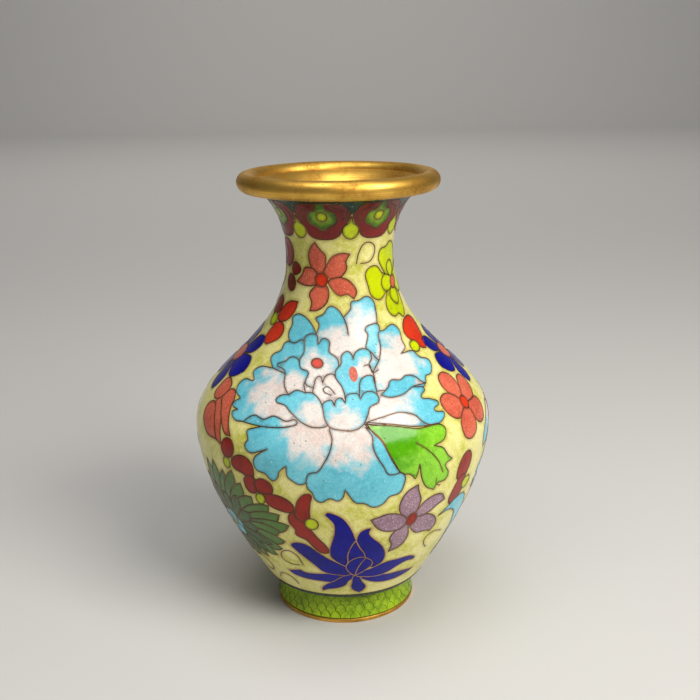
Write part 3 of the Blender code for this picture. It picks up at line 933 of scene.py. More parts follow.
@dataclass
class Card:
    """Where a motif's card lies on the body and how it is turned.

    Attributes:
        face: Azimuth in degrees of the card's own meridian.
        middle: Across and up of the point that the card is scaled and mirrored about.
        shift: Move across and up.
        scale: Scale of the drawing.
        mirrored: Whether the drawing is mirrored.
    """

    face: float = 0.0
    middle: Point = (0.0, 0.0)
    shift: Point = (0.0, 0.0)
    scale: float = 1.0
    mirrored: bool = False

    def move(self, points: Array) -> Array:
        """Moves points onto the body's card: mirrored and scaled about the middle, then shifted."""
        factor = np.array((-self.scale if self.mirrored else self.scale, self.scale))
        return (points - self.middle) * factor + self.middle + self.shift

    def azimuth(self, form: TurnedForm, points: Array) -> Array:
        """Azimuths of points on the card: the face's, plus across divided by the radius at their height."""
        return math.radians(self.face) + points[:, 0] / form.radius(points[:, 1])


@dataclass
class WireDrawing:
    """Wires of one frame: ribbons with a rounded crown, soldered on edge.

    Attributes:
        form: The surface that they stand on.
        card: The card that their paths are drawn on.
        width: Width of a wire.
        crown: Height of its crown above the surface.
        points: Corners of the wires so far, in metres.
        triangles: Their triangles.
        count: Number of corners so far.
    """

    form: TurnedForm
    card: Card
    width: float = WIRE_WIDTH
    crown: float = WIRE_CROWN
    points: list[Array] = field(default_factory=list)
    triangles: list[Array] = field(default_factory=list)
    count: int = 0

    def add(self, path: Array, closed: bool) -> None:
        """Adds a wire along a path.

        Its section is a polygon over (across the path, lift): two feet, two shoulders, and a crown that
        follows a cosine. The section is carried along the path, square to it on the card.

        Args:
            path: Samples of the path on the card.
            closed: Whether the path returns to its first sample.
        """
        ahead = np.roll(path, -1, axis=0) - path
        behind = path - np.roll(path, 1, axis=0)
        if not closed:
            ahead[-1], behind[0] = behind[-1], ahead[0]
        along = ahead / np.linalg.norm(ahead, axis=1, keepdims=True)
        along += behind / np.linalg.norm(behind, axis=1, keepdims=True)
        along /= np.maximum(np.linalg.norm(along, axis=1, keepdims=True), 1e-6)
        side = np.column_stack([-along[:, 1], along[:, 0]])
        turns = np.linspace(-1.0, 1.0, 5)
        offsets = np.concatenate([[-1.0], turns, [1.0]]) * self.width / 2
        crowns = np.cos(turns * CROWN_TURN) * self.crown
        lifts = np.concatenate([[CELL_ROOT], crowns, [CELL_ROOT]])
        rings = []
        for offset, lift in zip(offsets, lifts):
            spots = path + side * offset
            rings.append(self.form.place(self.card.azimuth(self.form, spots), spots[:, 1], lift))
        ring = np.stack(rings, axis=1)
        rows, size = ring.shape[:2]
        triangles = grid_triangles(rows, size, closed, True)
        if not closed:
            fan = np.array([(0, spot, spot + 1) for spot in range(1, size - 1)])
            triangles = np.vstack([triangles, fan, fan[:, ::-1] + (rows - 1) * size])
        self.points.append(ring.reshape(-1, 3))
        self.triangles.append(triangles + self.count)
        self.count += rows * size

    def build(self, name: str) -> Piece:
        """Makes one object of the wires."""
        return make_mesh_object(name, np.vstack(self.points), np.vstack(self.triangles))


@dataclass
class Motif:
    """A picture in enamel: cells painted one over another on a card, with wires between them.

    Attributes:
        name: Start of its pieces' names.
        cells: The cells, the ones behind first.
        card: Where the card lies.
        wires: Paths of loose wires: veins, folds and tendrils.
        enamel_node: CAD node that the first cell's enamel stands for.
        wire_node: CAD node that the wires stand for.
        metal: Finish of the wires.
    """

    name: str
    cells: list[Cell]
    card: Card = field(default_factory=Card)
    wires: list[Points] = field(default_factory=list)
    enamel_node: str = ""
    wire_node: str = ""
    metal: Metal = Metal.WIRE

    def build(self, form: TurnedForm, shelf: FinishShelf) -> Array:
        """Builds one piece for each enamel of the motif and one for its wires.

        Args:
            form: The surface that it lies on.
            shelf: Where the finishes come from.

        Returns:
            Points in metres along the wires.
        """
        outlines = [self.card.move(smooth(cell.outline)) for cell in self.cells]
        shown = self._wires_shown(outlines)
        drawing = WireDrawing(form, self.card)
        for path, closed in shown:
            drawing.add(path, closed)
        if self.cells:
            self._build_enamels(form, shelf, outlines, np.vstack([path for path, _ in shown]))
        wires = drawing.build(self.name + "_wires")
        nodes = (self.wire_node,) if self.wire_node else ()
        install(wires, shelf.get(self.metal), nodes)
        return np.vstack([form.place(self.card.azimuth(form, path), path[:, 1]) for path, _ in shown])

    def _wires_shown(self, outlines: list[Array]) -> list[tuple[Array, bool]]:
        """Wire paths, less what lies under a later cell or beside a later cell's own wire.

        Args:
            outlines: Outlines of the cells on the body's card.

        Returns:
            Each path and whether it is closed.
        """
        shown = []
        for index, outline in enumerate(outlines):
            if not self.cells[index].wired:
                continue
            hidden = np.zeros(len(outline), bool)
            for later, cell in zip(outlines[index + 1 :], self.cells[index + 1 :]):
                hidden |= inside(outline, later)
                if cell.wired:
                    hidden |= nearest(outline, later) < HIDING_REACH
            shown += [(outline, True)] if not hidden.any() else self._runs(outline, hidden)
        loose = [(self.card.move(smooth(points, closed=False)), False) for points in self.wires]
        return shown + loose

    @staticmethod
    def _runs(outline: Array, hidden: Array) -> list[tuple[Array, bool]]:
        """The unbroken runs of a closed outline that aren't hidden.

        Args:
            outline: The outline's points.
            hidden: Whether each point is hidden.

        Returns:
            The points of each run, with False because a run isn't closed.
        """
        start = int(np.argmax(hidden))
        outline, hidden = np.roll(outline, -start, axis=0), np.roll(hidden, -start)
        changes = np.flatnonzero(np.diff(np.append(hidden, True).astype(int)))
        runs = []
        for first, last in zip(changes[::2] + 1, changes[1::2] + 1):
            run = np.take(outline, range(first - 1, last + 1), axis=0, mode="wrap")
            if len(run) >= SHORTEST_RUN:
                runs.append((run, False))
        return runs

    def _build_enamels(
        self, form: TurnedForm, shelf: FinishShelf, outlines: list[Array], along: Array
    ) -> None:
        """Builds the enamels.

        The card is cut into triangles that follow every outline, and each triangle goes to the last
        cell that it lies in. A cell's triangles are laid on the body, and closed with a back and walls.

        Args:
            form: The surface that they lie on.
            shelf: Where the finishes come from.
            outlines: Outlines of the cells on the body's card.
            along: Samples of the wires that show.
        """
        corners, triangles = card_triangles(outlines)
        middles = corners[triangles].mean(axis=1)
        owner = np.full(len(triangles), -1)
        for index, outline in enumerate(outlines):
            owner[inside(middles, outline)] = index
        rims = nearest(corners, along)
        sheets: dict[Glaze, SheetSet] = {}
        for index, cell in enumerate(self.cells):
            own = triangles[owner == index]
            if not len(own):
                continue
            used, local = np.unique(own, return_inverse=True)
            spots = corners[used]
            heart = np.full(len(used), FAR)
            if cell.heart:
                centre = self.card.move(np.array([cell.heart[:2]]))
                reach = cell.heart[2] * self.card.scale
                heart = np.linalg.norm(spots - centre, axis=1) / reach
            tone = np.full(len(used), (index * TONE_STEP) % 1.0)
            values = {"rim": rims[used], "heart": heart, "tone": tone}
            sheet = sheets.setdefault(cell.glaze, SheetSet(form))
            sheet.add(self.card.azimuth(form, spots), spots[:, 1], local.reshape(own.shape), values)
        for rank, (glaze, sheet) in enumerate(sheets.items()):
            piece = sheet.build(f"{self.name}_{glaze.name.lower()}")
            nodes = (self.enamel_node,) if self.enamel_node and rank == 0 else ()
            install(piece, shelf.get(glaze), nodes)


@dataclass
class SheetSet:
    """Closed sheets of enamel that lie on a turned surface, all of one finish.

    Attributes:
        form: The surface.
        points: Corners so far, in metres.
        normals: Their shading normals.
        triangles: Triangles so far.
        values: Numbers for the corners, by attribute name.
        count: Number of corners so far.
    """

    form: TurnedForm
    points: list[Array] = field(default_factory=list)
    normals: list[Array] = field(default_factory=list)
    triangles: list[Array] = field(default_factory=list)
    values: dict[str, list[Array]] = field(default_factory=dict)
    count: int = 0

    def add(self, azimuth: Array, up: Array, triangles: Array, values: dict[str, Array]) -> None:
        """Adds a sheet: its face at the cells' lift, its back at the root, and walls along open edges.

        Args:
            azimuth: Azimuth of each corner.
            up: Up of each corner.
            triangles: Corner numbers, anticlockwise seen from outside.
            values: Numbers for each corner, by attribute name.
        """
        total = len(up)
        edges = np.concatenate([triangles[:, [0, 1]], triangles[:, [1, 2]], triangles[:, [2, 0]]])
        known = set(map(tuple, edges.tolist()))
        border = np.array([edge for edge in known if edge[::-1] not in known])
        first, second = border.T
        halves = (second, first, first + total), (second, first + total, second + total)
        walls = np.concatenate([np.stack(half, 1) for half in halves])
        back = triangles[:, ::-1] + total
        facing = self.form.facing(azimuth, up)
        self.points += [self.form.place(azimuth, up, CELL_LIFT), self.form.place(azimuth, up, CELL_ROOT)]
        self.normals += [facing, -facing]
        self.triangles.append(np.concatenate([triangles, back, walls]) + self.count)
        for key, numbers in values.items():
            self.values.setdefault(key, []).extend([numbers, numbers])
        self.count += 2 * total

    def build(self, name: str) -> Piece:
        """Makes one object of the sheets.

        Args:
            name: The object's name.

        Returns:
            The object.
        """
        values = {key: np.concatenate(parts) for key, parts in self.values.items()}
        points, triangles, normals = map(np.vstack, (self.points, self.triangles, self.normals))
        return make_mesh_object(name, points, triangles, normals, values)


def card_triangles(outlines: list[Array]) -> tuple[Array, Array]:
    """Cuts the card into triangles that follow every outline.

    Args:
        outlines: Closed outlines, which may cross.

    Returns:
        The corners, and the corner numbers of each triangle, anticlockwise.
    """
    every = np.vstack(outlines)
    low, high = every.min(axis=0), every.max(axis=0)
    across = np.arange(low[0], high[0], MAP_STEP)
    up = np.arange(low[1], high[1], MAP_ROW)
    spots = np.stack(np.meshgrid(across, up), -1)
    spots[::2, :, 0] += MAP_STEP / 2
    spots = spots.reshape(-1, 2)
    within = np.zeros(len(spots), bool)
    for outline in outlines:
        within |= inside(spots, outline)
    spots = spots[within]
    spots = spots[nearest(spots, every) > MAP_MARGIN]
    edges = []
    start = 0
    for outline in outlines:
        count = len(outline)
        edges += [(start + index, start + (index + 1) % count) for index in range(count)]
        start += count
    flat = [Vector(point) for point in np.vstack([every, spots]).tolist()]
    corners, _, triangles, *_ = delaunay_2d_cdt(flat, edges, [], 0, 1e-3)
    corners = np.array([tuple(corner) for corner in corners])
    triangles = np.array([tuple(triangle) for triangle in triangles])
    first, second, third = (corners[triangles[:, index]] for index in range(3))
    ahead, beside = second - first, third - first
    area = ahead[:, 0] * beside[:, 1] - ahead[:, 1] * beside[:, 0]
    return corners, np.where(area[:, None] < 0, triangles[:, ::-1], triangles)[np.abs(area) > 1e-7]


@dataclass
class TurnedPiece:
    """A piece turned round Z: a closed section carried round the axis.

    A corner is at (r sin a, -r cos a, h) for the section's (r, h) and azimuth a. Corners that meet on
    the axis are made one.

    Attributes:
        name: The piece's name.
        section: (radius, height) round the section, anticlockwise with the radius to the right.
        finish: Its finish.
        nodes: CAD nodes that it stands for.
        sides: Number of steps round the axis.
    """

    name: str
    section: Array
    finish: Glaze | Metal
    nodes: tuple[str, ...]
    sides: int = 256

    def build(self, shelf: FinishShelf, values: dict[str, Array] | None = None) -> Piece:
        """Builds the piece.

        Args:
            shelf: Where the finish comes from.
            values: A number for each point of the section, by attribute name.

        Returns:
            The object.
        """
        azimuth = np.arange(self.sides) * 2 * math.pi / self.sides
        radius, height = self.section.T
        points = np.stack(
            [
                np.outer(np.sin(azimuth), radius),
                -np.outer(np.cos(azimuth), radius),
                np.broadcast_to(height, (self.sides, len(height))),
            ],
            -1,
        ).reshape(-1, 3)
        triangles = grid_triangles(self.sides, len(radius), True, True)
        spread = {key: np.tile(numbers, self.sides) for key, numbers in (values or {}).items()}
        _, first, joined = np.unique(np.round(points, 5), axis=0, return_index=True, return_inverse=True)
        triangles = joined.reshape(-1)[triangles]
        whole = (triangles != np.roll(triangles, 1, axis=1)).all(axis=1)
        kept = {key: numbers[first] for key, numbers in spread.items()}
        piece = make_mesh_object(self.name, MM * points[first], triangles[whole], values=kept)
        install(piece, shelf.get(self.finish), self.nodes)
        return piece


def rounded(section: Points, radius: float, steps: int = 6) -> Array:
    """Rounds the corners of a closed section.

    Each corner is replaced by a quadratic curve that starts and ends `radius` away from it, or half the
    shorter side where that is less.

    Args:
        section: Its corners.
        radius: How far from a corner the rounding starts.
        steps: Points on each rounding.

    Returns:
        The points of the rounded section.
    """
    corners = np.array(section, float)
    points = []
    for before, corner, after in zip(np.roll(corners, 1, axis=0), corners, np.roll(corners, -1, axis=0)):
        if corner[0] < 1e-6:
            points.append(corner[None])
            continue
        back, ahead = before - corner, after - corner
        lengths = np.linalg.norm(back), np.linalg.norm(ahead)
        reach = min(radius, lengths[0] / 2, lengths[1] / 2)
        start, end = corner + back / lengths[0] * reach, corner + ahead / lengths[1] * reach
        t = np.linspace(0.0, 1.0, steps)[:, None]
        points.append((1 - t) ** 2 * start + 2 * (1 - t) * t * corner + t**2 * end)
    return np.vstack(points)


def box(inner: float, outer: float, bottom: float, top: float, rounding: float) -> Array:
    """Section of a plate or ring: a rectangle from one radius and height to another, its corners rounded."""
    return rounded([(inner, bottom), (outer, bottom), (outer, top), (inner, top)], rounding)


def circle(radius: float, height: float, size: float, steps: int) -> Array:
    """Section of a round wire: (radius + size cos a, height + size sin a)."""
    turn = np.linspace(0.0, 2 * math.pi, steps, endpoint=False)
    return np.column_stack([radius + size * np.cos(turn), height + size * np.sin(turn)])


@dataclass
class CopperBody:
    """The hidden copper shells, the enamel inside the belly and the base.

    Attributes:
        form: The body's form.
        copper_depth: Depth of the copper's outside below the skin.
        copper_wall: Thickness of the copper.
        lining_depth: Depth of the lining's outside.
        lining_wall: Thickness of the lining.
        seams: Heights of the two seams.
        seam_gap: Half of the width of a seam.
        lining_top: Height at which the lining ends.
        lining_bottom: Height at which it begins.
        lining_bend: How far up the profile its walls begin from there.
        lining_corner: How far inside and above the floor's corner the inner wall begins.
        floor: Height of the base plate's underside.
        plate: Radius and thickness of the base plate.
        underside: Radius, lower and upper height of the enamel under the plate.
        lip: (radius, height) of the points where the neck meets the mouth ring.
    """

    form: BodyForm
    copper_depth: float = 1.2
    copper_wall: float = 1.0
    lining_depth: float = 2.8
    lining_wall: float = 0.8
    seams: tuple[float, float] = (57.0, 91.0)
    seam_gap: float = 0.15
    lining_top: float = 88.0
    lining_bottom: float = 11.3
    lining_bend: float = 1.5
    lining_corner: tuple[float, float] = (1.0, 0.4)
    floor: float = 10.0
    plate: tuple[float, float] = (20.2, 1.0)
    underside: tuple[float, float, float] = (16.7, 8.9, 9.7)
    lip: tuple[Point, ...] = ((23.4, 123.8), (22.9, 125.0))

    def wall(self, bottom: float, top: float, depth: float, thickness: float) -> Array:
        """Section of a wall that follows the body.

        Args:
            bottom: Up of its lower end.
            top: Up of its upper end.
            depth: Depth of its outside below the skin.
            thickness: Its thickness.

        Returns:
            The section's points.
        """
        ups = np.linspace(bottom, top, max(int(top - bottom), 8))
        outer = np.column_stack(self.form.section(ups, -depth))
        inner = np.column_stack(self.form.section(ups[::-1], -depth - thickness))
        return np.vstack([outer, inner])

    def build(self, shelf: FinishShelf) -> None:
        """Builds the three shells, the lining and the base plate with its enamel.

        Args:
            shelf: Where the finishes come from.
        """
        low, high = (self.form.up_at(height) for height in self.seams)
        gap = self.seam_gap
        spans = (
            ("belly_copper", "belly_shell", self.form.bottom, low - gap, Metal.COPPER),
            ("shoulder_copper", "shoulder_shell", low + gap, high - gap, Metal.COPPER),
            ("neck_copper", "neck_shell", high + gap, self.form.top, Metal.GILDING),
        )
        for name, node, bottom, top, metal in spans:
            section = self.wall(bottom, top, self.copper_depth, self.copper_wall)
            if metal is Metal.GILDING:
                section = np.insert(section, len(section) // 2, self.lip, axis=0)
            TurnedPiece(name, section, metal, (node,)).build(shelf)
        self._build_lining(shelf)
        radius, thickness = self.plate
        plate = box(0.0, radius, self.floor, self.floor + thickness, 0.2)
        TurnedPiece("base_copper", plate, Metal.COPPER, ("base_plate",)).build(shelf)
        under = box(0.0, *self.underside, 0.3)
        TurnedPiece("base_underside", under, Glaze.BASE, ("base_enamel",)).build(shelf, plain_values(under))

    def _build_lining(self, shelf: FinishShelf) -> None:
        """Builds the enamel inside the belly, with its floor.

        Args:
            shelf: Where the finish comes from.
        """
        bottom = self.lining_bottom
        inset, rise = self.lining_corner
        ups = np.linspace(self.form.up_at(bottom) + self.lining_bend, self.form.up_at(self.lining_top), 90)
        outer = np.column_stack(self.form.section(ups, -self.lining_depth))
        outer = outer[outer[:, 1] > bottom]
        inner = np.column_stack(self.form.section(ups[::-1], -self.lining_depth - self.lining_wall))
        inner = inner[inner[:, 1] > bottom + self.lining_wall + rise]
        corner = outer[0, 0]
        floor = [(corner - inset, bottom + self.lining_wall), (0.0, bottom + self.lining_wall)]
        section = np.vstack([[(0.0, bottom), (corner, bottom)], outer, inner, floor])
        lining = TurnedPiece("belly_inner_enamel", section, Glaze.LINING, ("belly_lining",))
        lining.build(shelf, plain_values(section))


def plain_values(section: Array) -> dict[str, Array]:
    """Attributes of an enamel that has no wires, no heart and one tone, for each point of a section."""
    count = len(section)
    return {"rim": np.full(count, FAR), "heart": np.full(count, FAR), "tone": np.full(count, 0.5)}


@dataclass
class GroundSkin:
    """The pale ground, one skin round the whole body, with dark bands under the rim and at the foot; the
    foot's is partly painted shadow.

    Attributes:
        form: The body's form.
        wall: Thickness of the skin.
        columns: Steps round the axis.
        rows: Steps up the profile.
        rim_band: Up of the lower edge of the band under the rim.
        foot_band: Up of the upper edge of the band at the foot, whose dark colour is partly painted shadow.
        band_wire: Radius of the wire along that edge.
        band_wire_depth: Depth of the wire's middle below the skin.
    """

    form: BodyForm
    wall: float = 0.8
    columns: int = 320
    rows: int = 200
    rim_band: float = 122.9
    foot_band: float = 3.2
    band_wire: float = 0.18
    band_wire_depth: float = 0.1

    def build(self, shelf: FinishShelf, wires: Array) -> None:
        """Builds the ground and its two bands.

        Args:
            shelf: Where the finishes come from.
            wires: Points in metres along the wires that cross the ground.
        """
        bottom, top = self.form.bottom, self.form.top
        ground = self._skin("ground", (bottom, top), self.rows, 0.0, Glaze.GROUND, shelf, ("ground_enamel",))
        places = np.empty(3 * len(ground.data.vertices), np.float32)
        ground.data.vertices.foreach_get("co", places)
        # Distance to the nearest wire: it sets the painted shade beside the wires.
        rims = nearest(places.reshape(-1, 3), wires) / MM
        ground.data.attributes["rim"].data.foreach_set("value", rims.astype(np.float32))
        self._skin("rim_band", (self.rim_band, top), 16, CELL_LIFT / 2, Glaze.BAND, shelf)
        # The band at the foot: dark green enamel, its darkness partly painted shadow in the groove under the
        # belly.
        self._skin("foot_band", (bottom, self.foot_band), 8, CELL_LIFT, Glaze.BAND, shelf)
        radius, height = self.form.section(np.array([self.foot_band]))
        section = circle(radius - self.band_wire_depth, height, self.band_wire, 8)
        TurnedPiece("foot_band_wire", section, Metal.WIRE, ()).build(shelf)

    def _skin(
        self,
        name: str,
        span: tuple[float, float],
        rows: int,
        lift: float,
        glaze: Glaze,
        shelf: FinishShelf,
        nodes: tuple[str, ...] = (),
    ) -> Piece:
        """Builds a closed skin between two places up the profile.

        Its face is the grid place(azimuth, up, lift); its back has fewer rows.

        Args:
            name: The piece's name.
            span: Up of its lower and its upper edge.
            rows: Rows of its face.
            lift: Lift of its face.
            glaze: Its enamel.
            shelf: Where the finish comes from.
            nodes: CAD nodes that it stands for.

        Returns:
            The object.
        """
        face = np.linspace(*span, rows)
        back = np.linspace(*span[::-1], max(rows // 5, 3))
        ups = np.concatenate([face, back])
        lifts = np.concatenate([np.full(len(face), lift), np.full(len(back), -self.wall)])
        turn = np.arange(self.columns) * 2 * math.pi / self.columns
        azimuth, up = (part.ravel() for part in np.meshgrid(turn, ups, indexing="ij"))
        points = self.form.place(azimuth, up, np.tile(lifts, self.columns))
        signs = np.concatenate([np.ones(len(face)), -np.ones(len(back))])
        normals = self.form.facing(azimuth, up) * np.tile(signs, self.columns)[:, None]
        triangles = grid_triangles(self.columns, len(ups), True, True)
        values = {key: np.tile(numbers, self.columns) for key, numbers in plain_values(ups).items()}
        piece = make_mesh_object(name, points, triangles, normals, values)
        install(piece, shelf.get(glaze), nodes)
        return piece


@dataclass
class MouthRing:
    """The thick rolled ring that closes the lip.

    Attributes:
        radius: Radius of the circle that the wire follows.
        wire: Radius of the wire.
        height: Height of the wire's middle.
    """

    radius: float = 25.17
    wire: float = 2.58
    height: float = 124.41

    def build(self, shelf: FinishShelf) -> None:
        """Builds the ring: a circle carried round the axis."""
        section = circle(self.radius, self.height, self.wire, 56)
        TurnedPiece("rolled_rim", section, Metal.GILDING, ("mouth_ring",)).build(shelf)


@dataclass
class Foot:
    """The foot: copper collar, green enamel with a scale diaper of wire, and the gilt edge ring.

    Attributes:
        outline: (radius, height) of the enamel's outside, from the bottom up.
        wire_room: How far the enamel lies inside the outline, so that the wires stay within it.
        wall: Thickness of the enamel.
        copper: Depth of the collar's outside and its thickness.
        ring: Inner radius, outer radius, bottom and top of the edge ring.
        scales: Number of scales in a row.
        scale_rows: Number of rows of scales.
        scale_start: Up of the ends of the lowest scales.
        scale_rise: Height of a scale as a share of its row.
        scale_wire: Width and crown of the scales' wires.
        top_shade_rate: How fast the painted shadow fades from the foot's top down, as a share of the height.
    """

    outline: tuple[Point, ...] = ((20.45, 1.5), (19.5, 5.6), (19.9, 9.7))
    wire_room: float = 0.12
    wall: float = 0.8
    copper: tuple[float, float] = (1.3, 1.0)
    ring: tuple[float, float, float, float] = (17.25, 20.45, 0.0, 1.2)
    scales: int = 44
    scale_rows: int = 4
    scale_start: float = 0.05
    scale_rise: float = 0.92
    scale_wire: tuple[float, float] = (0.13, 0.03)
    top_shade_rate: float = 0.22

    def form(self) -> TurnedForm:
        """The enamel's surface: a smooth curve through the outline, set back for the wires."""
        profile = smooth([*self.outline], closed=False, step=0.25)
        return TurnedForm(profile - (self.wire_room, 0.0))

    def build(self, shelf: FinishShelf) -> None:
        """Builds the foot's pieces.

        Args:
            shelf: Where the finishes come from.
        """
        form = self.form()
        ups = np.linspace(0.0, form.ups[-1], 30)
        walls = (
            ("foot_green_band", 0.0, self.wall, Glaze.FOOT, "foot_enamel"),
            ("foot_copper", *self.copper, Metal.COPPER, "foot_collar"),
        )
        for name, depth, thickness, finish, node in walls:
            outer = np.column_stack(form.section(ups, -depth))
            section = np.vstack([outer, outer[::-1] - (thickness, 0.0)])
            values = plain_values(section)
            # Rim grows from the foot's top down, so the enamel's edge shade paints the shadow under the belly
            # at the top.
            values["rim"] = self.top_shade_rate * (section[:, 1].max() - section[:, 1])
            TurnedPiece(name, section, finish, (node,)).build(shelf, values)
        TurnedPiece("foot_edge", box(*self.ring, 0.35), Metal.GILDING, ("foot_ring",)).build(shelf)
        self._build_scales(form, shelf)

    def _build_scales(self, form: TurnedForm, shelf: FinishShelf) -> None:
        """Builds the scale diaper: rows of arches, each row set half a scale on from the one below.

        Args:
            form: The foot's surface.
            shelf: Where the finish comes from.
        """
        drawing = WireDrawing(form, Card(), *self.scale_wire)
        pitch = 2 * math.pi * float(form.radius(0.0)) / self.scales
        rise = form.ups[-1] / self.scale_rows
        turn = np.linspace(0.0, math.pi, 12)
        for row in range(self.scale_rows):
            for index in range(self.scales):
                middle = (index + 0.5 * (row % 2)) * pitch
                across = middle - np.cos(turn) * pitch / 2
                up = row * rise + np.sin(turn) * rise * self.scale_rise + self.scale_start
                scale = form.radius(up) / form.radius(0.0)
                drawing.add(np.column_stack([across * scale, up]), False)
        install(drawing.build("foot_scale_wires"), shelf.get(Metal.GREENED_WIRE))


def cells_of(glaze: Glaze, *outlines: Points) -> list[Cell]:
    """Cells of one enamel, without hearts."""
    return [Cell(glaze, outline) for outline in outlines]


